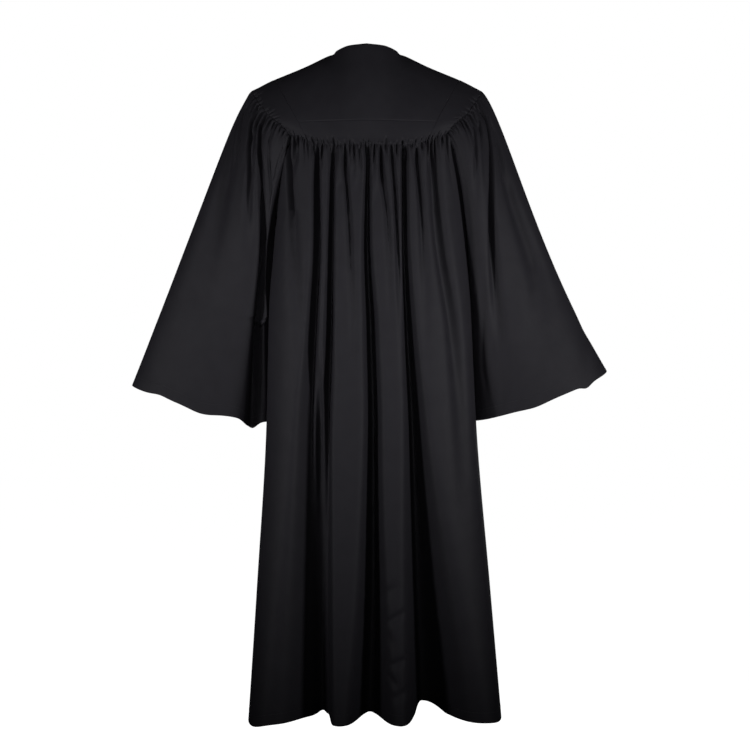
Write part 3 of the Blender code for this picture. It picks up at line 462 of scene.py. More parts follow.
def turn_in(grid: Array, normals: Array, border: str, flap: float = 6 * MM) -> tuple[Array, Array]:
    """Adds a seam allowance beyond a border: three lines set back a little and going inwards.

    Args:
        grid: Points, rows by columns.
        normals: The cloth's outward directions at the points.
        border: top, bottom, left or right.
        flap: How far in the allowance reaches.

    Returns:
        The grid and the normals with the new lines.
    """
    across = border in ("left", "right")
    last = border in ("bottom", "right")
    if across:
        grid, normals = grid.transpose(1, 0, 2), normals.transpose(1, 0, 2)
    if last:
        grid, normals = grid[::-1], normals[::-1]
    away = unit(grid[0] - grid[1])
    lines = [grid[0] - away * back - normals[0] * deep
             for back, deep in ((0.30 * MM, flap), (0.30 * MM, 1.3 * MM), (0.10 * MM, 0.45 * MM))]
    grid = np.concatenate([np.array(lines), grid])
    normals = np.concatenate([np.repeat(normals[:1], 3, 0), normals])
    if last:
        grid, normals = grid[::-1], normals[::-1]
    if across:
        grid, normals = grid.transpose(1, 0, 2), normals.transpose(1, 0, 2)
    return grid, normals


def tuck_under(grid: Array, normals: Array) -> tuple[Array, Array]:
    """Adds a seam allowance above a panel's top, which lies flat behind the yoke's edge."""
    away = unit(grid[0] - grid[1])
    lines = [grid[0] + away * up - normals[0] * deep
             for up, deep in ((7 * MM, 2.2 * MM), (0.6 * MM, 1.0 * MM))]
    return np.concatenate([np.array(lines), grid]), np.concatenate([normals[:1], normals[:1], normals])


def mesh_object(name: str, points: Array, faces: Array, finish: "Finish", uv: Array | None = None,
                flat: Array | None = None) -> Piece:
    """An object at the origin from points and four-sided faces.

    Args:
        name: The piece's name.
        points: Its points, one row each.
        faces: Four point numbers a row.
        finish: The finish it is dressed in.
        uv: Two numbers in metres for each corner of each face, along the cloth's threads.
        flat: True for each face that isn't shaded smooth.

    Returns:
        The object, linked to the scene.
    """
    mesh = bpy.data.meshes.new(name)
    mesh.vertices.add(len(points))
    mesh.vertices.foreach_set("co", np.asarray(points, np.float32).ravel())
    mesh.loops.add(faces.size)
    mesh.loops.foreach_set("vertex_index", faces.astype(np.int32).ravel())
    mesh.polygons.add(len(faces))
    mesh.polygons.foreach_set("loop_start", np.arange(0, faces.size, 4, dtype=np.int32))
    mesh.update(calc_edges=True)
    smooth_faces = np.ones(len(faces), bool) if flat is None else ~flat
    mesh.polygons.foreach_set("use_smooth", smooth_faces)
    if uv is not None:
        layer = mesh.uv_layers.new(name="Cloth")
        layer.data.foreach_set("uv", np.asarray(uv, np.float32).ravel())
    mesh.validate()
    mesh.materials.append(finish.material())
    made = bpy.data.objects.new(name, mesh)
    bpy.context.scene.collection.objects.link(made)
    return made


def cloth_wall(name: str, grid: Array, finish: "Finish", out: Array | float = CLOTH_OUT,
               back: Array | float = CLOTH_IN, closed: bool = False) -> Piece:
    """A thin closed wall: the grid moved out along its normals, moved in, and joined at its rims.

    Args:
        name: The piece's name.
        grid: Points of the middle surface, rows by columns.
        finish: The finish it is dressed in.
        out: How far the outer face lies off the grid, one number or one for each point.
        back: The same for the inner face.
        closed: True when the last column joins the first.

    Returns:
        The wall as an object.
    """
    rows, columns = grid.shape[:2]
    normals = grid_normals(grid, closed)
    out, back = np.broadcast_to(out, (rows, columns)), np.broadcast_to(back, (rows, columns))
    points = np.concatenate([grid + normals * out[..., None], grid - normals * back[..., None]])
    wide = np.concatenate([grid, grid[:, :1]], 1) if closed else grid
    across, down = lengths_along(wide), lengths_along(wide, 0)
    uv = np.stack([across - across[:, [wide.shape[1] // 2]], -down], -1)
    spans = columns if closed else columns - 1
    row, column = (a.ravel() for a in np.meshgrid(np.arange(rows - 1), np.arange(spans), indexing="ij"))
    corner_row = np.stack([row, row, row + 1, row + 1], 1)
    corner_column = np.stack([column, column + 1, column + 1, column], 1)
    outer = corner_row * columns + corner_column % columns
    inner = outer[:, ::-1] + rows * columns
    uv_outer = uv[corner_row, corner_column]
    faces, corners = [outer, inner], [uv_outer, uv_outer[:, ::-1]]
    rims = [(row == 0, (1, 0)), (row == rows - 2, (3, 2))]
    if not closed:
        rims += [(column == 0, (0, 3)), (column == spans - 1, (2, 1))]
    for at, (first, second) in rims:
        near = outer[at][:, [first, second]]
        faces.append(np.concatenate([near, near[:, ::-1] + rows * columns], 1))
        side = uv_outer[at][:, [first, second]]
        corners.append(np.concatenate([side, side[:, ::-1]], 1))
    flat = np.arange(sum(len(f) for f in faces)) >= 2 * len(outer)
    return mesh_object(name, points.reshape(-1, 3), np.concatenate(faces), finish,
                       np.concatenate(corners), flat)


def bar_faces(count: int, rings: int) -> Array:
    """Faces of bars of six-sided rings with a cap at each end: bars by faces by four."""
    ring, corner = np.meshgrid(np.arange(rings - 1) * 6, np.arange(6), indexing="ij")
    after = (corner + 1) % 6
    walls = np.stack([ring + corner, ring + after, ring + 6 + after, ring + 6 + corner], -1)
    end = 6 * (rings - 1)
    caps = [(3, 2, 1, 0), (5, 4, 3, 0), (end, end + 1, end + 2, end + 3), (end, end + 3, end + 4, end + 5)]
    return np.arange(count)[:, None, None] * 6 * rings + np.concatenate([walls.reshape(-1, 4), caps])[None]


@dataclass(frozen=True)
class Gathers:
    """Short valleys that a gathering thread draws across a seam, each with a place of its own."""

    count: int
    seed: int
    depth: float = 8.5 * MM
    length: float = 38 * MM
    lead: float = 17 * MM
    rise: float = 12 * MM
    wide: float = 0.25
    astray: float = 0.22
    slant: float = 0.35
    drift_reach: float = 30 * MM
    widening: float = 90 * MM
    proud: float = 0.45

    def press(self, share: Array, below: Array) -> Array:
        """How far the valleys press the cloth in.

        Each valley is a bell across the cloth, whose place drifts as it goes down. It starts a
        little above the seam, is deepest just below it, widens, and fades over its own length.

        Args:
            share: Place along the seam from 0 to 1, for each point.
            below: Distance below the seam for each point, less than 0 above it.

        Returns:
            The depth for each point, with the ridges between lying a little proud.
        """
        draw = np.random.default_rng(self.seed)
        centre = np.arange(self.count) + 0.5 + draw.uniform(-self.astray, self.astray, self.count)
        depth = self.depth * draw.uniform(0.35, 1.6, self.count)
        length = self.length * np.exp(draw.normal(0, 0.45, self.count))
        lead = self.lead * draw.uniform(-0.1, 1.35, self.count)
        drift = draw.uniform(-self.slant, self.slant, self.count) / self.count
        wide = self.wide / self.count * draw.uniform(0.75, 1.3, self.count)
        near = below > -1.6 * self.lead
        press = np.zeros(below.shape)
        low, place = below[near][:, None], np.broadcast_to(share, below.shape)[near][:, None]
        sunk = np.maximum(low, 0)
        away = place - centre / self.count - drift * sunk / (sunk + self.drift_reach)
        spread = wide * (0.5 + 0.5 * ease((low + lead) / (2 * self.rise)) + sunk / self.widening)
        fade = ease((low + lead) / self.rise) * bell(sunk, length, 1.8)
        fade = fade * (0.55 + 0.45 * ease((low + 2 * MM) / (14 * MM)))
        valleys = depth * fade * bell(away, spread, 2.4)
        press[near] = valleys.sum(-1) - self.proud * (depth * fade).mean(-1)
        return press


def gathered(share: Array, below: Array, count: int, seed: int) -> Array:
    """Both sizes of gathers of one seam: the flutes, and the fine puckers between them."""
    flutes = Gathers(count, seed)
    puckers = Gathers(2 * count, seed + 1, depth=5 * MM, length=15 * MM, lead=12 * MM, rise=6 * MM)
    return flutes.press(share, below) + puckers.press(share, below)


@dataclass(frozen=True)
class BodyForm:
    """The body below the yoke: level sections that long folds press in."""

    samples: int = 2881
    first_turn: float = -120.0
    last_turn: float = 300.0

    def size(self, name: str, z: Array) -> Array:
        """One named size of the section at each height."""
        return smooth(z, [s.z for s in SECTIONS], [getattr(s, name) for s in SECTIONS])[:, None]

    def hull(self, z: Array, turn: Array) -> Array:
        """Plan points of the unfolded section: turn is 0 at the back's middle and 90 at +X.

        The section is a superellipse read by its angle, deeper at the back than in front.
        """
        square = self.size("square", z)
        across, deep = np.sin(np.radians(turn)), np.cos(np.radians(turn))
        reach = (np.abs(across) ** square + np.abs(deep) ** square) ** (-1 / square)
        depth = np.where(deep > 0, self.size("back_depth", z), self.size("front_depth", z))
        x = self.size("shift", z) + self.size("half_width", z) * across * reach
        return np.stack([x, depth * deep * reach], -1)

    def turn_at_x(self, z: Array, x: Array | float, face: Face) -> Array:
        """The turn where the section's back or front passes x, one for each height."""
        square = self.size("square", z)[:, 0]
        share = np.clip((x - self.size("shift", z)[:, 0]) / self.size("half_width", z)[:, 0], -1, 1)
        turn = np.degrees(np.arctan2(share, (1 - np.abs(share) ** square) ** (1 / square)))
        return turn if face is Face.BACK else 180 - turn

    def turn_at_y(self, z: Array, y: Array, face: Face) -> Array:
        """The turn off the face's middle, from 0 to 90, where the section's depth is y."""
        square = self.size("square", z)[:, 0]
        name = "back_depth" if face is Face.BACK else "front_depth"
        share = np.clip(y / self.size(name, z)[:, 0], 0, 1)
        return np.degrees(np.arctan2((1 - share ** square) ** (1 / square), share))

    def seam_turn(self, z: Array, face: Face, side: Side, least: float) -> Array:
        """Turn of a panel's edge: on an arc from the yoke's corner to the underarm, then the side."""
        top = np.array([BAND_EDGE_Z])
        corner = self.hull(top, self.turn_at_x(top, YOKE_CORNER_X, face)[:, None])[0, 0, 1]
        down = np.maximum(BAND_EDGE_Z - z, 0) / (BAND_EDGE_Z - UNDERARM_Z)
        depth = abs(corner) * np.sqrt(np.maximum(1 - down * down, 0))
        turn = side.value * self.turn_at_y(z, np.maximum(depth, least), face)
        return turn if face is Face.BACK else 180 - turn

    def press(self, z: Array, turn: Array) -> Array:
        """How far the folds press in each point: bells across the cloth, the deepest winning."""
        turns = np.linspace(self.first_turn, self.last_turn, self.samples)
        walked = lengths_along(self.hull(z, np.broadcast_to(turns, (len(z), self.samples))))
        along = pick(walked, self.first_turn, self.last_turn, turn)
        start = rising(BAND_EDGE_Z - z, FOLD_RISE)[:, None]
        total = np.zeros_like(along)

        def away_from(middle: Array) -> Array:
            """Distance of each point from a turn of its row, along the unfolded cloth."""
            return along - pick(walked, self.first_turn, self.last_turn, middle)

        for face, folds in FOLDS.items():
            for fold in folds:
                at, depth, plus, minus = (
                    smooth(z, FOLD_LEVELS, np.array(v) * MM)
                    for v in (fold.at, fold.depth, fold.wide_plus, fold.wide_minus))
                away = away_from(self.turn_at_x(z, at, face)[:, None])
                wide = np.where((away > 0) == (face is Face.BACK), plus[:, None], minus[:, None])
                total += (np.maximum(depth, 0)[:, None] * start * bell(away, wide, FOLD_SHAPE)) ** 3
        depth, wide = (smooth(z, FOLD_LEVELS, v)[:, None] for v in (SIDE_DEPTH, SIDE_WIDE))
        for side_turn in SIDE_TURNS:
            away = away_from(np.full((len(z), 1), side_turn))
            total += (np.maximum(depth, 0) * bell(away, wide, FOLD_SHAPE)) ** 3
        return np.cbrt(total)

    def folded(self, z: Array, turn: Array) -> tuple[Array, Array, Array]:
        """The folded section.

        Args:
            z: One height for each row.
            turn: Turns, rows by columns.

        Returns:
            Plan points, outward directions, and how far each point is pressed in.
        """
        plan = self.hull(z, turn)
        ahead = self.hull(z, turn + 0.05) - self.hull(z, turn - 0.05)
        outward = unit(np.stack([-ahead[..., 1], ahead[..., 0]], -1))
        puff = PUFF * rising(BAND_EDGE_Z - z, PUFF_RISE)[:, None]
        press = self.press(z, turn)
        return plan + outward * (puff * outward[..., 1] ** 2 - press)[..., None], outward, press

    def edge_share(self, face: Face, x: Array) -> Array:
        """Place along the yoke's lower edge, 0 at one corner and 1 at the other, for each x."""
        seam_x = np.linspace(-YOKE_CORNER_X, YOKE_CORNER_X, SEAM_SAMPLES)
        turn = self.turn_at_x(np.full(SEAM_SAMPLES, BAND_EDGE_Z), seam_x, face)
        walked = lengths_along(self.hull(np.array([BAND_EDGE_Z]), turn[None]))[0]
        return np.interp(x, seam_x, walked / walked[-1])

    def front_y(self, z: Array, x: float) -> Array:
        """Depth of the front's middle surface at x, near the zip, for each height."""
        turn = self.turn_at_x(z, x, Face.FRONT)[:, None]
        return self.folded(z, turn)[0][:, 0, 1]


@dataclass(frozen=True)
class YokeForm:
    """The yoke's surface: columns that leave the neckline or ridge and arrive at the band's edge.

    A point is blended with those of columns shifted by up to reach, in a bell of width blur.
    """

    body: BodyForm = BodyForm()
    blur: float = 0.10
    reach: float = 0.18
    shifts: int = 13

    def points(self, face: Face, share: Array, down: Array) -> Array:
        """Points of the yoke: each column, blended with its neighbours away from the edges.

        Args:
            face: Back or front.
            share: Signed place of each column, 0 at the middle and 1 at the sleeve.
            down: How far down its column each point lies, rows by columns.

        Returns:
            Points, rows by columns.
        """
        # The blend fades out towards the sleeve, the neckline, the lower edge and the front's middle.
        inner = np.clip((1 - np.abs(share)) / 0.25, 0, 1)
        if face is Face.FRONT:
            inner = inner * np.clip(np.abs(share) / 0.2, 0, 1)
        blur = self.blur * inner * np.clip(down / 0.22, 0, 1) ** 0.6 * ease((1 - down) / 0.25) + 1e-4
        total, weights = 0.0, 0.0
        for shift in np.linspace(-self.reach, self.reach, self.shifts):
            weight = np.exp(-0.5 * (shift / blur) ** 2)[..., None]
            total = total + weight * self.columns(face, share + shift, down)
            weights = weights + weight
        return total / weights

    def columns(self, face: Face, share: Array, down: Array) -> Array:
        """Points of the yoke's columns, each a cubic curve between its two handles."""
        table = YOKE_COLUMNS[face]
        side, away = np.where(share < 0, -1.0, 1.0), np.abs(share)
        top, leave, x_edge, arrive = (
            smooth(away, [c.share for c in table], np.array([getattr(c, name) for c in table]) * MM)
            for name in ("top", "leave", "x_edge", "arrive"))
        level = np.full(len(share), BAND_EDGE_Z)
        plan = self.body.hull(level, self.body.turn_at_x(level, side * x_edge, face)[:, None])[:, 0]
        end = np.column_stack([plan[:, 0] * side, plan[:, 1], level])
        points = bent(top, leave, arrive, end, down[..., None])
        lean = np.ones(len(share)) if face is Face.BACK else np.clip(away / FRONT_RIDGE_SHARE, 0, 1)
        points[..., 0] = side * points[..., 0] + YOKE_LEAN * lean * (1 - down)
        points[..., 2] += corner_lift(x_edge) * ease((down - 0.4) / 0.6)
        return points

    def down_at(self, face: Face, share: Array, z: float) -> Array:
        """How far down each column passes height z."""
        last = EDGE_SAMPLES - 1
        steps = np.broadcast_to(np.linspace(0, 1, EDGE_SAMPLES)[:, None], (EDGE_SAMPLES, len(share)))
        heights = self.points(face, np.abs(share), steps)[..., 2]
        past = np.clip((heights > z).sum(0), 1, last)
        above = np.take_along_axis(heights, past[None] - 1, 0)[0]
        below = np.take_along_axis(heights, past[None], 0)[0]
        return (past - 1 + np.clip((above - z) / np.maximum(above - below, 1e-9), 0, 1)) / last

    def grid(self, face: Face, share: Array, rows: int, top_z: float | None, end_z: float) -> Array:
        """Grid of a yoke piece between two heights, where no top height is the neckline."""
        top = np.zeros(len(share)) if top_z is None else self.down_at(face, share, top_z)
        end = self.down_at(face, share, end_z)
        steps = np.linspace(0, 1, rows)[:, None]
        return self.points(face, share, top + (end - top) * steps)


@dataclass(frozen=True)
class SleeveForm:
    """A hanging sleeve: threads from the armhole, which bend out of it, to the cuff's edge."""

    side: Side
    outer: Point
    inner: Point
    half_depth: float
    sag: float
    bow: float
    body: BodyForm = BodyForm()
    yoke: YokeForm = YokeForm()
    fineness: int = 1441

    def armhole(self) -> tuple[Array, Array]:
        """The sleeve's top edge, a closed loop round the armhole.

        Returns:
            Turns from 0 at the shoulder through 0.5 under the arm to 1, and the points there.
        """
        share = np.linspace(0, 1, EDGE_SAMPLES)
        z = BAND_EDGE_Z - np.sin(np.linspace(0, math.pi / 2, ARM_SAMPLES)) * (BAND_EDGE_Z - UNDERARM_Z)
        halves = []
        for face in Face:
            strap = self.yoke.points(face, np.array([float(self.side.value)]), share[:, None])[:, 0]
            strap = strap + np.array([self.side.value * 0.75, 0.35 * face.value, -0.35]) * STRAP_SEAM
            plan, outward, _ = self.body.folded(z, self.body.seam_turn(z, face, self.side, 0.0)[:, None])
            lift = CORNER_LIFT * bell(BAND_EDGE_Z - z, CORNER_FADE)
            arm = np.column_stack([plan[:, 0] + outward[:, 0] * ARMHOLE_SEAM, z + lift])
            halves.append(np.concatenate([strap[:-1], arm]))
        turns = np.concatenate([np.linspace(0, STRAP_TURN, EDGE_SAMPLES - 1, endpoint=False),
                                np.linspace(STRAP_TURN, 0.5, ARM_SAMPLES)])
        return np.concatenate([turns, 1 - turns[-2::-1]]), np.concatenate([halves[0], halves[1][-2::-1]])

    def cuff(self, turn: Array) -> Array:
        """Points of the cuff's edge: a flattened loop from the outer corner to the inner one."""
        half = np.minimum(turn, 1 - turn)
        share = smooth(half.ravel(), *zip(*CUFF_SHARES)).reshape(turn.shape)
        outer, inner = np.array(self.outer), np.array(self.inner)
        points = (outer + inner) / 2 + np.cos(np.pi * share)[..., None] * (outer - inner) / 2
        bulge = np.sin(np.pi * share)
        points[..., 1] += np.where(turn <= 0.5, 1, -1) * self.half_depth * np.maximum(bulge, 0) ** 0.9
        points[..., 2] -= self.sag * bulge
        return points

    def hull(self, turn: Array, down: Array) -> Array:
        """The unfolded sleeve at turns and shares of its length, rows by columns."""
        turn = turn % 1.0
        half = np.minimum(turn, 1 - turn)
        loop_turns, loop = self.armhole()
        top = np.stack([np.interp(turn, loop_turns, loop[:, k]) for k in range(3)], -1)
        turns, *handles = zip(*THREADS)
        mirror = np.stack([np.full(turn.shape, float(self.side.value)), np.where(turn <= 0.5, 1.0, -1.0),
                           np.ones(turn.shape)], -1)
        leave, arrive = (smooth(half.ravel(), turns, handle).reshape(*turn.shape, 3) * mirror
                         for handle in handles)
        arrive[..., 0] -= self.side.value * self.bow * (1 - half / 0.5)
        return bent(top, leave, arrive, self.cuff(turn), down[:, None, None])

    def outward(self, turn: Array, down: Array) -> Array:
        """Outward directions of the unfolded sleeve."""
        ahead = self.hull(turn + 1e-3, down) - self.hull(turn - 1e-3, down)
        along = self.hull(turn, np.minimum(down + 1e-2, 1)) - self.hull(turn, np.maximum(down - 1e-2, 0))
        return unit(np.cross(ahead, along) * -self.side.value)

    def creases(self, down: Array, turn: Array) -> Array:
        """How far the creases press in: bells across the cloth along paths found by x and z.

        Args:
            down: Share of the length, one for each row.
            turn: Turns, rows by columns.

        Returns:
            The depth for each point.
        """
        downs, turns = np.linspace(0, 1, ARM_SAMPLES), np.linspace(0, 1, self.fineness)
        surface = self.hull(np.broadcast_to(turns, (ARM_SAMPLES, len(turns))), downs)
        rows = self.hull(np.broadcast_to(turns, (len(down), len(turns))), down)
        walked = lengths_along(rows)
        along = pick(walked, 0, 1, turn)
        total = np.zeros_like(along)
        for crease in CREASES[self.side]:
            hidden = (turns > 0.5) if crease.face is Face.BACK else (turns < 0.5)
            near = []
            for x, z in zip(crease.x, crease.z):
                miss = (np.abs(surface[..., 0]) - x * MM) ** 2 + (surface[..., 2] - z * MM) ** 2 + hidden
                row, column = np.unravel_index(np.argmin(miss), miss.shape)
                near.append((downs[row] + len(near) * 1e-4, turns[column]))
            path, at = np.array(near).T
            depth = np.interp(down, path, crease.depth) * MM
            if path[-1] < 0.95:
                depth = depth * bell(np.maximum(down - path[-1], 0), CREASE_FADE)
            depth = depth * bell(np.maximum(path[0] - down, 0), CREASE_FADE)
            depth = depth * np.minimum(1, down / CREASE_FADE)
            wide = np.interp(down, path, crease.wide)[:, None] * MM
            away = along - pick(walked, 0, 1, smooth(down, path, at)[:, None])
            total += (depth[:, None] * bell(away, wide, FOLD_SHAPE)) ** 3
        return np.cbrt(total)


def linear(code: str) -> tuple[float, float, float, float]:
    """A colour's linear values from its sRGB hex code."""
    parts = np.array([int(code[k:k + 2], 16) for k in (1, 3, 5)]) / 255
    values = np.where(parts <= 0.04045, parts / 12.92, ((parts + 0.055) / 1.055) ** 2.4)
    return (*(float(v) for v in values), 1.0)


def add_node(tree: Tree, kind: str, settings: dict | None = None, **links) -> Node:
    """Adds a node with its settings and links.

    Args:
        tree: The material's or world's node tree.
        kind: The node's type name.
        settings: Values by property name, or by socket name or number.
        **links: An output socket for each input, by its name.

    Returns:
        The node.
    """
    made = tree.nodes.new(kind)
    for name, value in (settings or {}).items():
        if isinstance(name, str) and hasattr(made, name):
            setattr(made, name, value)
        else:
            made.inputs[name].default_value = value
    for name, output in links.items():
        tree.links.new(output, made.inputs[name])
    return made


def add_bump(tree: Tree, height: Socket, strength: float, deep: float, **under) -> Socket:
    """Adds a bump of a depth in metres, over an earlier one's normal, and returns its own."""
    settings = {"Strength": strength, "Distance": deep}
    return add_node(tree, "ShaderNodeBump", settings, Height=height, **under).outputs[0]


def vary(tree: Tree, shader: Node, by: Socket, tones: tuple[str, str] | None,
         gloss: tuple[float, float] | None) -> None:
    """Lets the base colour vary between two hex codes, and the roughness between two values."""
    if tones:
        settings = {"data_type": "RGBA", 6: linear(tones[0]), 7: linear(tones[1])}
        tree.links.new(add_node(tree, "ShaderNodeMix", settings, Factor=by).outputs[2],
                       shader.inputs["Base Color"])
    if gloss:
        settings = {3: gloss[0], 4: gloss[1]}
        tree.links.new(add_node(tree, "ShaderNodeMapRange", settings, Value=by).outputs[0],
                       shader.inputs["Roughness"])


@dataclass(frozen=True)
class Finish:
    """A surface finish, made once and shared by the pieces that have it.

    Its grain is a noise that varies the colour and the gloss, or a wave that stands out as ribs.
    """

    name: str
    values: dict
    grain: dict
    tones: tuple[str, str] | None = None
    gloss: tuple[float, float] | None = None
    ribs: tuple[float, float] | None = None
    woven: bool = False

    def material(self) -> bpy.types.Material:
        """The finish as a material, made on first use."""
        known = bpy.data.materials.get(self.name)
        if known is not None:
            return known
        made = bpy.data.materials.new(self.name)
        made.use_nodes = True
        shader = made.node_tree.nodes["Principled BSDF"]
        self.dress(made.node_tree, shader, self.place(made.node_tree))
        for name, value in self.values.items():
            shader.inputs[name].default_value = linear(value) if isinstance(value, str) else value
        return made

    def place(self, tree: Tree) -> Socket:
        """Object coordinates or, for cloth, its own UV map along its threads, both in metres."""
        if self.woven:
            return add_node(tree, "ShaderNodeUVMap", {"uv_map": "Cloth"}).outputs[0]
        return add_node(tree, "ShaderNodeTexCoord").outputs["Object"]

    def dress(self, tree: Tree, shader: Node, place: Socket) -> None:
        """Adds the grain."""
        kind = "ShaderNodeTexWave" if self.ribs else "ShaderNodeTexNoise"
        grain = add_node(tree, kind, self.grain, Vector=place).outputs["Fac"]
        vary(tree, shader, grain, self.tones, self.gloss)
        if self.ribs:
            tree.links.new(add_bump(tree, grain, *self.ribs), shader.inputs["Normal"])


@dataclass(frozen=True)
class WovenCloth(Finish):
    """A plain woven cloth: threads over uneven threads over the soft unevenness of pressed cloth."""

    thread: float = 0.9 * MM

    def dress(self, tree: Tree, shader: Node, place: Socket) -> None:
        """Adds the weave, the uneven threads and the soft unevenness."""
        count = 1 / self.thread
        stretch = add_node(tree, "ShaderNodeMapping", {"Scale": (count, count, 1)}, Vector=place).outputs[0]
        weave = add_node(tree, "ShaderNodeTexChecker", {"Scale": 1.0}, Vector=stretch).outputs["Fac"]
        # Uneven threads, 1 mm wide and 30 mm long down the cloth.
        slubs = add_node(tree, "ShaderNodeMapping", {"Scale": (900, 30, 1)}, Vector=place).outputs[0]
        slub = add_node(tree, "ShaderNodeTexNoise", {"Detail": 2.0, "Scale": 1.0}, Vector=slubs).outputs[0]
        soft = add_node(tree, "ShaderNodeTexNoise", self.grain, Vector=place).outputs["Fac"]
        vary(tree, shader, soft, self.tones, None)
        vary(tree, shader, slub, None, self.gloss)
        low = add_bump(tree, soft, 0.35, 0.6 * MM)
        mid = add_bump(tree, slub, 0.25, 0.10 * MM, Normal=low)
        tree.links.new(add_bump(tree, weave, 0.25, 0.08 * MM, Normal=mid), shader.inputs["Normal"])


# Black polyester robing cloth, plain woven and pressed: matt, with a faint broad sheen. Real threads
# lie about 0.3 mm apart. They are drawn 0.9 mm apart so that a close view shows them. The soft
# unevenness is about 30 mm across.
CLOTH = WovenCloth(
    "black_polyester_robe_cloth",
    {"Specular IOR Level": 0.10, "Sheen Weight": 0.02, "Sheen Roughness": 0.45, "Sheen Tint": "#8E8A96"},
    {"Scale": 32.0, "Detail": 3.0}, tones=("#1B1A1E", "#212024"), gloss=(0.56, 0.72), woven=True)
# Woven polyester zip tape with ribs 1.2 mm apart, denser and duller than the cloth.
TAPE = Finish(
    "black_woven_zip_tape", {"Base Color": "#111113", "Roughness": 0.7, "Specular IOR Level": 0.25},
    {"Scale": 130.0, "Distortion": 0.4}, ribs=(0.4, 0.15 * MM), woven=True)
# Black nylon zip coil, drawn smooth: satin, with a faint mottle in the gloss.
COIL = Finish("black_nylon_coil", {"Base Color": "#0F0F10"}, {"Scale": 900.0, "Detail": 2.0},
              gloss=(0.30, 0.42))
# Black polyester sewing thread, two plies twisted: a soft gleam on each stitch.
THREAD = Finish(
    "black_sewing_thread", {"Base Color": "#1B1B1D", "Roughness": 0.5, "Specular IOR Level": 0.35},
    {"Scale": 700.0, "bands_direction": "DIAGONAL"}, ribs=(0.3, 0.1 * MM))
# Die-cast zinc with black enamel, as on a zip's slider: satin, worn lighter in places.
METAL = Finish("black_enamelled_zinc", {"Metallic": 0.6}, {"Scale": 600.0, "Detail": 3.0},
               tones=("#1A1A1C", "#242427"), gloss=(0.26, 0.40))
# Pale seamless paper, dull and lit evenly from behind.
FLOOR = Finish(
    "pale_paper_floor", {"Roughness": 0.9, "Emission Color": (1, 1, 1, 1), "Emission Strength": 1.0},
    {"Scale": 1.5, "Detail": 2.0}, tones=("#F2F2F1", "#F7F7F6"))


def report(piece: Piece, body: str, slot: str, *nodes: str) -> Piece:
    """Lets a piece ride on a body, hides the CAD nodes it stands for, and logs it."""
    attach(piece, body)
    if nodes:
        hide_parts(*nodes)
    log.info("%s: %d faces", piece.name, len(piece.data.polygons))
    return piece


@dataclass
class Stitches:
    """A line of running stitches on the cloth: each is a low arch of thread with both ends sunk."""

    name: str
    path: Array
    normals: Array
    lift: float
    pitch: float = 3.4 * MM
    length: float = 2.5 * MM
    thick: float = 0.55 * MM

    def build(self) -> Piece:
        """Makes all stitches as one mesh.

        A stitch is five rings of six points along its length. Its middle line rises as a half
        sine over the cloth and its radius shrinks at the ends.
        """
        walked = lengths_along(self.path[None])[0]
        count = max(int(walked[-1] / self.pitch), 1)
        middle = (np.arange(count) + 0.5) * walked[-1] / count
        step = np.linspace(-0.5, 0.5, 5)
        at = middle[:, None] + step * self.length
        line, up = (np.stack([np.interp(at, walked, values[:, k]) for k in range(3)], -1)
                    for values in (self.path, self.normals))
        up = unit(up)
        across = np.cross(unit(np.gradient(line, axis=1)), up)
        arch = np.cos(np.pi * step)
        radius = self.thick / 2 * np.sqrt(np.maximum(0.12, arch))
        line = line + up * (self.lift + self.thick * (0.55 * arch - 0.25))[None, :, None]
        angle = np.linspace(0, 2 * np.pi, 6, endpoint=False)[:, None]
        ring = across[:, :, None] * np.cos(angle) + up[:, :, None] * np.sin(angle)
        points = line[:, :, None] + ring * radius[None, :, None, None]
        return mesh_object(self.name, points.reshape(-1, 3), bar_faces(count, 5).reshape(-1, 4), THREAD)


def hemmed(name: str, grid: Array, normals: Array, fold: float, sewn_at: float,
           closed: bool = False) -> tuple[Array, Piece]:
    """Folds a hem double.

    Args:
        name: Name of the stitches.
        grid: Points, rows from the top to the hem.
        normals: The cloth's outward directions at the points.
        fold: Height of the fold.
        sewn_at: Height of the stitches above the edge.
        closed: True when the last column joins the first.

    Returns:
        How far the inner face lies off the grid at each point, and the stitches.
    """
    length = lengths_along(grid, 0)
    row = int(np.argmin(np.abs(length[-1].mean() - length.mean(1) - sewn_at)))
    path, up = (np.concatenate([v[row], v[row, :1]]) if closed else v[row] for v in (grid, normals))
    sewn = Stitches(name, path, up, CLOTH_OUT).build()
    return np.where(length[-1:] - length < fold, HEM_FOLD, CLOTH_IN), sewn


def gathered_sheet(cloth: Piece, node: str, sewn: Piece) -> None:
    """Lets a gathered piece and its stitches ride on the robe, and hides the CAD node it stands for."""
    report(cloth, ROBE_BODY, ROBE_SLOT, node)
    report(sewn, ROBE_BODY, ROBE_SLOT)


def panel_rows(face: Face) -> Array:
    """Distances of a body panel's rows below the yoke: close at the seam, the hem and the dents."""
    reach = BAND_EDGE_Z - HEM_Z
    seam_rows, middle_rows, hem_rows, hem_from = PANEL_ROWS[face]
    top = 0.3 * MM + SEAM_REACH * np.linspace(0, 1, seam_rows) ** 1.4
    middle = np.linspace(top[-1], hem_from, middle_rows)[1:]
    end = np.linspace(hem_from, reach - 1.0 * MM, hem_rows)[1:]
    return np.concatenate([top, middle, end, [reach]])


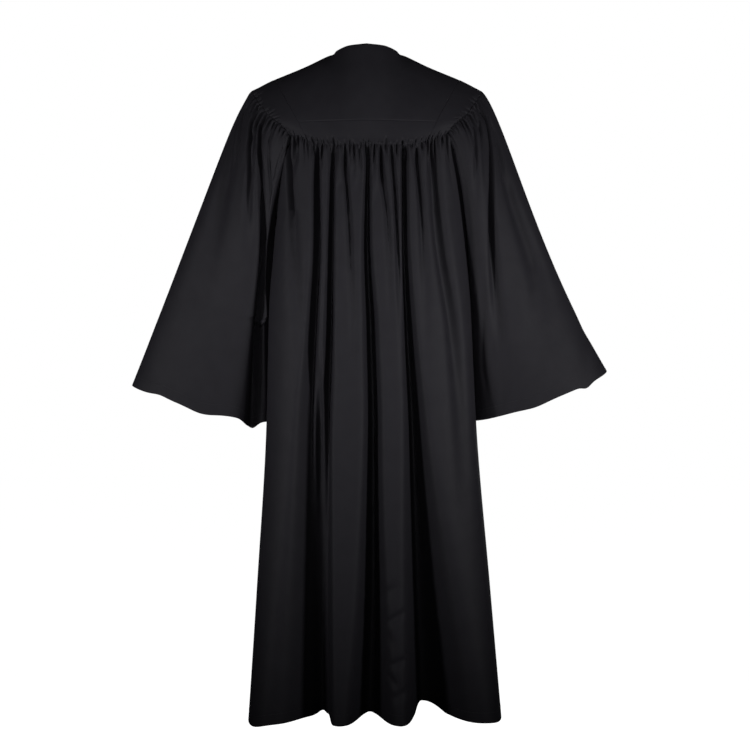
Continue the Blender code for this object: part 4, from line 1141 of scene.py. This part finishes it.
@dataclass
class BodyPanel:
    """A gathered panel of the body, from the yoke's edge to the hem: the back has no side."""

    node: str
    side: Side | None
    columns: int
    flat: tuple[float, float]
    area: float
    strip: int = 18
    form: BodyForm = BodyForm()

    @property
    def face(self) -> Face:
        """Back or front."""
        return Face.BACK if self.side is None else Face.FRONT

    def edges(self, z: Array) -> tuple[Array, Array]:
        """Turns of the panel's first and last edge at each height."""
        left, right = (self.form.seam_turn(z, self.face, side, SIDE_SEAM / 2) for side in Side)
        if self.side is None:
            return right, left
        middle = self.form.turn_at_x(z, self.side.value * FRONT_EDGE_X, Face.FRONT)
        return (left, middle) if self.side is Side.LEFT else (middle, right)

    def even_turns(self, z: Array, first: Array, last: Array, count: int, folded: bool) -> Array:
        """Turns of columns that lie evenly along the unfolded or the folded section."""
        turns = first[:, None] + (last - first)[:, None] * np.linspace(0, 1, PANEL_FINE_COLUMNS)
        line = self.form.folded(z, turns)[0] if folded else self.form.hull(z, turns)
        walked = lengths_along(line)
        walked /= walked[:, -1:]
        share = np.linspace(0, 1, count)
        return np.stack([np.interp(share, w, t) for w, t in zip(walked, turns)])

    def turns(self, z: Array, below: Array) -> Array:
        """Turns of all columns: a strip beside each armhole edge takes up its sudden widening.

        Args:
            z: Height of each row.
            below: Distance of each row below the yoke's edge.

        Returns:
            Turns, rows by columns.
        """
        first, last = self.edges(z)
        middle = 0.0 if self.face is Face.BACK else 180.0

        def inside(edge: Array) -> Array:
            """A line within the panel that opens evenly from the yoke's corner to the side."""
            opened = edge[0] + (edge[-1] - edge[0]) * ease(below / STRIP_DROP)
            return middle + (opened - middle) * STRIP_INNER

        has_first, has_last = self.side is not Side.RIGHT, self.side is not Side.LEFT
        low, high = inside(first) if has_first else first, inside(last) if has_last else last
        count = self.columns - self.strip * (has_first + has_last)
        blend = ease(below / FOLLOW_DROP)[:, None]
        turns = [(1 - blend) * self.even_turns(z, low, high, count, False)
                 + blend * self.even_turns(z, low, high, count, True)]
        step = np.linspace(0, 1, self.strip + 1)
        if has_first:
            turns.insert(0, (first[:, None] + (low - first)[:, None] * step)[:, :-1])
        if has_last:
            turns.append((high[:, None] + (last - high)[:, None] * step)[:, 1:])
        return np.concatenate(turns, 1)

    def grid(self) -> Array:
        """Points of the panel's middle surface, rows by columns."""
        below = panel_rows(self.face)
        z = BAND_EDGE_Z - below
        turn = self.turns(z, below)
        plan, outward, press = self.form.folded(z, turn)
        edge_x = self.form.hull(z[:1], turn[:1])[0, :, 0]
        share = self.form.edge_share(self.face, edge_x)
        low = np.broadcast_to(below[:, None], turn.shape)
        gather = gathered(share[None], low, FLUTES[self.face], FLUTE_SEEDS[self.face])
        if self.face is Face.FRONT:
            gather *= clear_of_zip(plan[..., 0])
        across = np.linspace(0, 1, turn.shape[1])
        gather *= np.clip(np.minimum(across, 1 - across) / PLAIN_EDGE, 0, 1)
        plan = plan - outward * gather[..., None]
        height = np.broadcast_to(z[:, None], turn.shape)
        if self.face is Face.BACK:
            for dent in DENTS:
                along = plan[..., 0] - dent.x
                up = height - dent.z - dent.slope * along
                sunk = dent.depth * bell(along, dent.wide) * bell(up, dent.tall)
                plan = plan - outward * sunk[..., None]
        lift = HEM_LIFT * np.maximum(press - HEM_LIFT_FROM, 0) * (z[:, None] / HEM_Z) ** 2
        lift = lift + corner_lift(edge_x)[None] * bell(low, CORNER_FADE)
        lift = lift - SEAM_WAVER * gather * bell(low, WAVER_FADE)
        for drop in HEM_DROPS:
            lift = lift - drop.at(plan[..., 0]) * ease((DROP_FROM_Z - height) / DROP_REACH)
        return np.concatenate([plan, (height + lift)[..., None]], -1)

    def build(self) -> None:
        """Makes the panel with its seam allowances and doubled hem, and its hem stitches."""
        name = f"{self.node}_cloth"
        grid = self.grid()
        normals = grid_normals(grid, False)
        back, sewn = hemmed(f"{name}_hem_stitches", grid, normals, 24 * MM, 21 * MM)
        grid, normals = tuck_under(grid, normals)
        for border in ("left", "right"):
            grid, normals = turn_in(grid, normals, border)
        back = np.pad(back, ((2, 0), (3, 3)), mode="edge")
        gathered_sheet(cloth_wall(name, grid, CLOTH, back=back), self.node, sewn)


@dataclass
class Sleeve:
    """A gathered bell sleeve with a doubled cuff hem."""

    form: SleeveForm
    flat: tuple[float, float]
    area: float
    columns: int = 400
    rows: int = 92
    settle: float = 0.16
    low_from: float = 0.72

    def grid(self) -> Array:
        """Points of the sleeve's middle surface, rows from the armhole to the cuff."""
        even_down = np.linspace(0, 1, self.rows)
        down = 0.10 * even_down + 0.90 * even_down ** 1.6
        down = np.concatenate([down[:-1], [1 - LAST_STEP, 1.0]])
        fine = np.broadcast_to(np.linspace(0, 1, FINE_COLUMNS), (len(down), FINE_COLUMNS))
        shaped = self.shaped(fine, down)[0]
        walked = lengths_along(shaped)
        place = np.linspace(0, 1, self.columns + 1)
        start = np.interp(place, (0, 0.30, 0.5, 0.70, 1), (0, STRAP_TURN, 0.5, 1 - STRAP_TURN, 1))
        under = int(np.argmin(np.abs(fine[0] - 0.5)))
        even = np.stack([np.where(place <= 0.5, np.interp(place * 2 * w[under], w, fine[0]),
                                  np.interp(w[under] + (place - 0.5) * 2 * (w[-1] - w[under]), w, fine[0]))
                         for w in walked])
        # The columns meet the straps' ends at the armhole and lie evenly round the sleeve below.
        blend = ease(down / self.settle)[:, None]
        turn = (1 - blend) * start + blend * even
        points, outward = self.shaped(turn, down)
        share = ((turn + 0.5) % 1.0 - 0.5 + STRAP_TURN) / (2 * STRAP_TURN)
        low = np.broadcast_to((SLEEVE_LENGTH * down)[:, None], turn.shape)
        gather = gathered(share, low, SLEEVE_FLUTES, SLEEVE_SEEDS[self.form.side])
        half = np.minimum(turn, 1 - turn)
        # Gathers end with the strap and are weaker over the shoulder.
        gather *= np.clip((STRAP_TURN + 0.04 - half) / 0.04, 0, 1) * (0.3 + 0.7 * ease(half / 0.08))
        points = points - outward * gather[..., None]
        low_share = ease((down - self.low_from) / (1 - self.low_from))[:, None]
        for drop in CUFF_DROPS[self.form.side]:
            points[..., 2] -= drop.at(points[..., 0]) * low_share
        return points[:, :-1] if self.form.side is Side.RIGHT else points[:, :0:-1]

    def shaped(self, turn: Array, down: Array) -> tuple[Array, Array]:
        """The sleeve's surface with its head puffed and its creases pressed in."""
        points, outward = self.form.hull(turn, down), self.form.outward(turn, down)
        half = np.minimum(turn, 1 - turn)
        puff = (SLEEVE_PUFF * rising(SLEEVE_LENGTH * down, SLEEVE_PUFF_RISE) * (1 - down) ** 1.5)[:, None]
        push = puff * np.clip((STRAP_TURN + 0.06 - half) / 0.12, 0, 1) - self.form.creases(down, turn)
        return points + outward * push[..., None], outward

    def build(self) -> None:
        """Makes the sleeve, its seam allowance and its cuff stitches."""
        side = self.form.side.name.lower()
        grid = self.grid()
        normals = grid_normals(grid, True)
        back, sewn = hemmed(f"sleeve_{side}_cuff_stitches", grid, normals, 20 * MM, 18 * MM, closed=True)
        grid, normals = turn_in(grid, normals, "top")
        back = np.pad(back, ((3, 0), (0, 0)), mode="edge")
        gathered_sheet(cloth_wall(f"sleeve_{side}_cloth", grid, CLOTH, back=back, closed=True),
                       f"sleeve_{side}", sewn)


@dataclass
class Yoke:
    """The ungathered top of the robe: its middle, band and straps behind, and two front pieces."""

    form: YokeForm = YokeForm()

    def piece(self, name: str, node: str, grid: Array, flat: tuple[float, float], area: float,
              rests_on: str, out: float = CLOTH_OUT) -> None:
        """Makes a yoke piece with all its edges turned in."""
        normals = grid_normals(grid, False)
        for border in ("left", "right", "top", "bottom"):
            grid, normals = turn_in(grid, normals, border, 5 * MM)
        cloth = report(cloth_wall(name, grid, CLOTH, out=out), ROBE_BODY, ROBE_SLOT, node)

    def build(self) -> None:
        """Makes the six pieces of the yoke."""
        share = np.linspace(-(STRAP_SHARE - SEAM_SHARE), STRAP_SHARE - SEAM_SHARE, BACK_GRID[0])
        back = self.form.grid(Face.BACK, share, BACK_GRID[1], None, YOKE_SEAM_Z + BAND_SEAM)
        self.piece("yoke_back_cloth", "yoke_back", back, (0.40, 0.20), 0.061, "band_cloth")
        band = self.form.grid(Face.BACK, share, BAND_ROWS, YOKE_SEAM_Z - BAND_SEAM, BAND_EDGE_Z)
        band = self.puckered(band, Face.BACK, None)
        self.piece("band_cloth", "band_back", band, (0.27, 0.050), 0.0128, "yoke_back_cloth")
        for side in Side:
            name = side.name.lower()
            columns = np.linspace(STRAP_SHARE + SEAM_SHARE, 1, STRAP_GRID[0])[::side.value] * side.value
            strap = self.form.grid(Face.BACK, columns, STRAP_GRID[1], None, BAND_EDGE_Z)
            strap = self.puckered(strap, Face.BACK, side)
            self.piece(f"strap_{name}_cloth", f"strap_{name}", strap, (0.045, 0.20), 0.0085,
                       "yoke_back_cloth", BAND_OUT)
            # Closer towards the strap. The right front's first column keeps its sign beside the zip.
            columns = (1 - (1 - np.linspace(0, 1, FRONT_GRID[0])) ** 1.25)[::-side.value] * side.value
            if side is Side.RIGHT:
                columns = np.where(columns == 0, -1e-9, columns)
            front = self.form.grid(Face.FRONT, columns, FRONT_GRID[1], None, BAND_EDGE_Z)
            front = self.puckered(front, Face.FRONT, side)
            self.piece(f"yoke_front_{name}_cloth", f"yoke_front_{name}", front, (0.24, 0.21), 0.0385,
                       f"strap_{name}_cloth")

    def puckered(self, grid: Array, face: Face, side: Side | None) -> Array:
        """The grid with the seams' gathers running into it from below and from the sleeve.

        Args:
            grid: Points of the piece, rows from its top to the yoke's lower edge.
            face: Back or front.
            side: The sleeve that it meets, or None for the band.

        Returns:
            The grid pressed in by the gathers.
        """
        normals = grid_normals(grid, False)
        down = lengths_along(grid, 0)
        share = self.form.body.edge_share(face, grid[-1, :, 0])
        press = gathered(share[None], down - down[-1:], FLUTES[face], FLUTE_SEEDS[face])
        if face is Face.FRONT:
            press *= clear_of_zip(grid[..., 0])
        if side is not None:
            across = lengths_along(grid)
            last = (grid[0, -1, 0] > grid[0, 0, 0]) == (side is Side.LEFT)
            inside = across - across[:, -1:] if last else -across
            place = np.linspace(0, 0.5, len(grid))[:, None] * face.value + 0.5
            edge = gathered(np.broadcast_to(place, inside.shape), inside, SLEEVE_FLUTES, SLEEVE_SEEDS[side])
            press = np.where(-inside < down[-1:] - down, STRAP_PUCKER * edge, press)
        grid = grid - normals * press[..., None]
        if side is None or face is Face.FRONT:
            grid[..., 2] -= press * bell(down[-1:] - down, WAVER_FADE) * SEAM_WAVER
        return grid


@dataclass
class Zip:
    """The centre front zip: tape behind the front edges, two rows of coil, slider and pull."""

    form: BodyForm = BodyForm()
    yoke: YokeForm = YokeForm()
    pitch: float = 1.9 * MM
    behind: float = 1.15 * MM
    tape_rows: int = 140
    tape_columns: int = 15
    coil_start: float = 6 * MM
    coil_short: float = 8 * MM

    def middle_y(self, z: Array) -> Array:
        """Depth of the front edges' middle surface at each height."""
        low = self.form.front_y(np.minimum(z, BAND_EDGE_Z), FRONT_EDGE_X)
        steps = np.linspace(0, 1, 200)
        column = self.yoke.points(Face.FRONT, np.array([0.0]), steps[:, None])[:, 0]
        high = np.interp(-z, -column[:, 2], column[:, 1])
        return np.where(z <= BAND_EDGE_Z, low, high)

    def tape(self) -> Piece:
        """The tape: a strip that follows the front edges, just behind them."""
        z = np.linspace(ZIP_TOP_Z, ZIP_END_Z, self.tape_rows)
        x = np.linspace(TAPE_WIDTH / 2, -TAPE_WIDTH / 2, self.tape_columns)
        low = np.minimum(z, BAND_EDGE_Z)
        edge = self.form.front_y(low, FRONT_EDGE_X)
        side_y = np.stack([self.form.front_y(low, v) - edge for v in x], 1)
        y = self.middle_y(z)[:, None] + side_y * (np.abs(x) > FRONT_EDGE_X) + self.behind
        grid = np.stack([*np.broadcast_arrays(x, y, z[:, None])], -1)
        return cloth_wall("zip_tape", grid, TAPE, out=0.3 * MM, back=0.3 * MM)

    def coil(self) -> Piece:
        """Both rows of teeth: each is a bent bar from its row's outer side to the middle.

        A tooth is a ring section carried along a hook: flat on the tape, rising, and rounded at
        its head, which passes the middle line and lies between two heads of the other row.
        """
        count = int((ZIP_TOP_Z - ZIP_END_Z - self.coil_short) / self.pitch)
        hook = np.array([(2.9, -0.45), (1.7, 0.25), (0.3, 0.45), (-0.45, 0.25)]) * MM
        wide = (np.array([0.42, 0.50, 0.62, 0.50]) * MM)[None, :, None]
        angle = np.linspace(0, 2 * np.pi, 6, endpoint=False) + np.pi / 6
        rows = []
        for sign in (1, -1):
            teeth = np.arange(count) + (0.5 if sign > 0 else 0.0)
            z = ZIP_TOP_Z - self.coil_start - teeth * self.pitch
            x = (sign * hook[:, 0])[None, :, None] + np.zeros((count, 4, 6))
            out = hook[:, 1][None, :, None] + wide * 0.8 * np.sin(angle)
            along = wide * np.cos(angle) + np.zeros((count, 4, 6))
            rows.append(np.stack([x, self.middle_y(z)[:, None, None] - out, z[:, None, None] + along], -1))
        faces = bar_faces(2 * count, 4)
        faces[:count] = faces[:count, :, ::-1]
        return mesh_object("zip_coil", np.concatenate(rows).reshape(-1, 3), faces.reshape(-1, 4), COIL)

    def build(self) -> None:
        """Makes the tape and coil, and dresses the slider and the pull."""
        tape = report(self.tape(), ROBE_BODY, ZIP_SLOT, "zip")
        coil = report(self.coil(), ROBE_BODY, ZIP_SLOT)
        for node in ("zip_slider", "zip_pull"):
            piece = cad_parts[node]
            piece.material_slots[0].material = METAL.material()


@dataclass(frozen=True)
class Lamp:
    """A soft square light at a place, aimed at a point, that opens by spread degrees."""

    name: str
    place: Point
    aim: Point
    power: float
    size: tuple[float, float]
    spread: float

    def build(self) -> None:
        """Makes the light."""
        lamp = bpy.data.lights.new(self.name, "AREA")
        lamp.energy = self.power
        lamp.shape = "RECTANGLE"
        lamp.size, lamp.size_y = self.size
        lamp.spread = math.radians(self.spread)
        made = bpy.data.objects.new(self.name, lamp)
        made.location = self.place
        made.rotation_euler = (Vector(self.aim) - Vector(self.place)).to_track_quat("-Z", "Y").to_euler()
        bpy.context.scene.collection.objects.link(made)


# The first three light the back, at a slant from both sides and weakly from straight behind.
LAMPS = (
    Lamp("key", (-1.80, 1.60, -0.56), (0, 0, -0.46), 3.6, (0.4, 0.5), 50),
    Lamp("fill", (1.80, 1.60, -0.58), (0, 0, -0.48), 2.8, (0.4, 0.5), 50),
    Lamp("camera_side_fill", (0.05, 2.35, -0.45), (-0.04, 0, -0.46), 1.0, (0.5, 0.5), 50),
    Lamp("other_side_key", (0.7, -2.7, 0.1), (0, 0, -0.5), 7, (0.8, 0.8), 80),
    Lamp("other_side_fill", (-1.1, -2.5, -0.2), (0, 0, -0.5), 4, (0.8, 0.8), 80),
)


@dataclass
class Studio:
    """Pale floor, soft lights and the camera at the photograph's angle."""

    floor_z: float = -1.62
    floor_reach: float = 9.0
    eye: Point = (-0.014, 2.4, -0.652)
    lens: float = 56.54

    def floor(self) -> None:
        """A round flat floor of pale paper, which lights nothing."""
        rings, spokes = 40, 96
        radius = np.linspace(0, self.floor_reach, rings)
        angle = np.linspace(0, 2 * np.pi, spokes, endpoint=False)
        r, a = np.meshgrid(radius, angle, indexing="ij")
        points = np.stack([r * np.cos(a), r * np.sin(a), np.full(r.shape, self.floor_z)], -1)
        row, column = (v.ravel() * n for v, n in zip(
            np.meshgrid(np.arange(rings - 1), np.arange(spokes), indexing="ij"), (spokes, 1)))
        after = (column + 1) % spokes
        faces = np.stack([row + column, row + spokes + column, row + spokes + after, row + after], 1)
        floor = mesh_object("studio_floor", points.reshape(-1, 3), faces, FLOOR)
        floor.visible_diffuse = False
        floor.visible_glossy = False

    def build(self) -> None:
        """Makes the floor, the world, the lights and the camera."""
        scene = bpy.context.scene
        scene.view_settings.view_transform = "Standard"
        self.floor()
        world = bpy.data.worlds.new("studio")
        world.use_nodes = True
        scene.world = world
        world.node_tree.nodes["Background"].inputs["Color"].default_value = (1, 1, 1, 1)
        world.cycles_visibility.diffuse = False
        world.cycles_visibility.glossy = False
        for lamp in LAMPS:
            lamp.build()
        camera = bpy.data.cameras.new("camera")
        camera.sensor_width = 36
        camera.lens = self.lens
        made = bpy.data.objects.new("camera", camera)
        made.location = self.eye
        made.rotation_euler = (math.pi / 2, 0, math.pi)
        scene.collection.objects.link(made)
        scene.camera = made


def main() -> None:
    """Builds the robe's sub-assemblies in order and the studio round them."""
    logging.basicConfig(level=logging.INFO, format="%(name)s %(message)s")
    BodyPanel("back", None, 410, (1.15, 1.12), 0.94).build()
    BodyPanel("front_left", Side.LEFT, 205, (0.52, 1.12), 0.43).build()
    BodyPanel("front_right", Side.RIGHT, 205, (0.52, 1.12), 0.44).build()
    Yoke().build()
    Sleeve(SleeveForm(Side.LEFT, outer=(0.479, 0.004, -0.672), inner=(0.204, 0.004, -0.746),
                      half_depth=0.060, sag=0.008, bow=0.004), (0.60, 0.66), 0.30).build()
    Sleeve(SleeveForm(Side.RIGHT, outer=(-0.484, 0.004, -0.642), inner=(-0.208, 0.004, -0.742),
                      half_depth=0.078, sag=0.014, bow=0.044), (0.60, 0.66), 0.29).build()
    Zip().build()
    Studio().build()


if __name__ == "__main__":
    main()
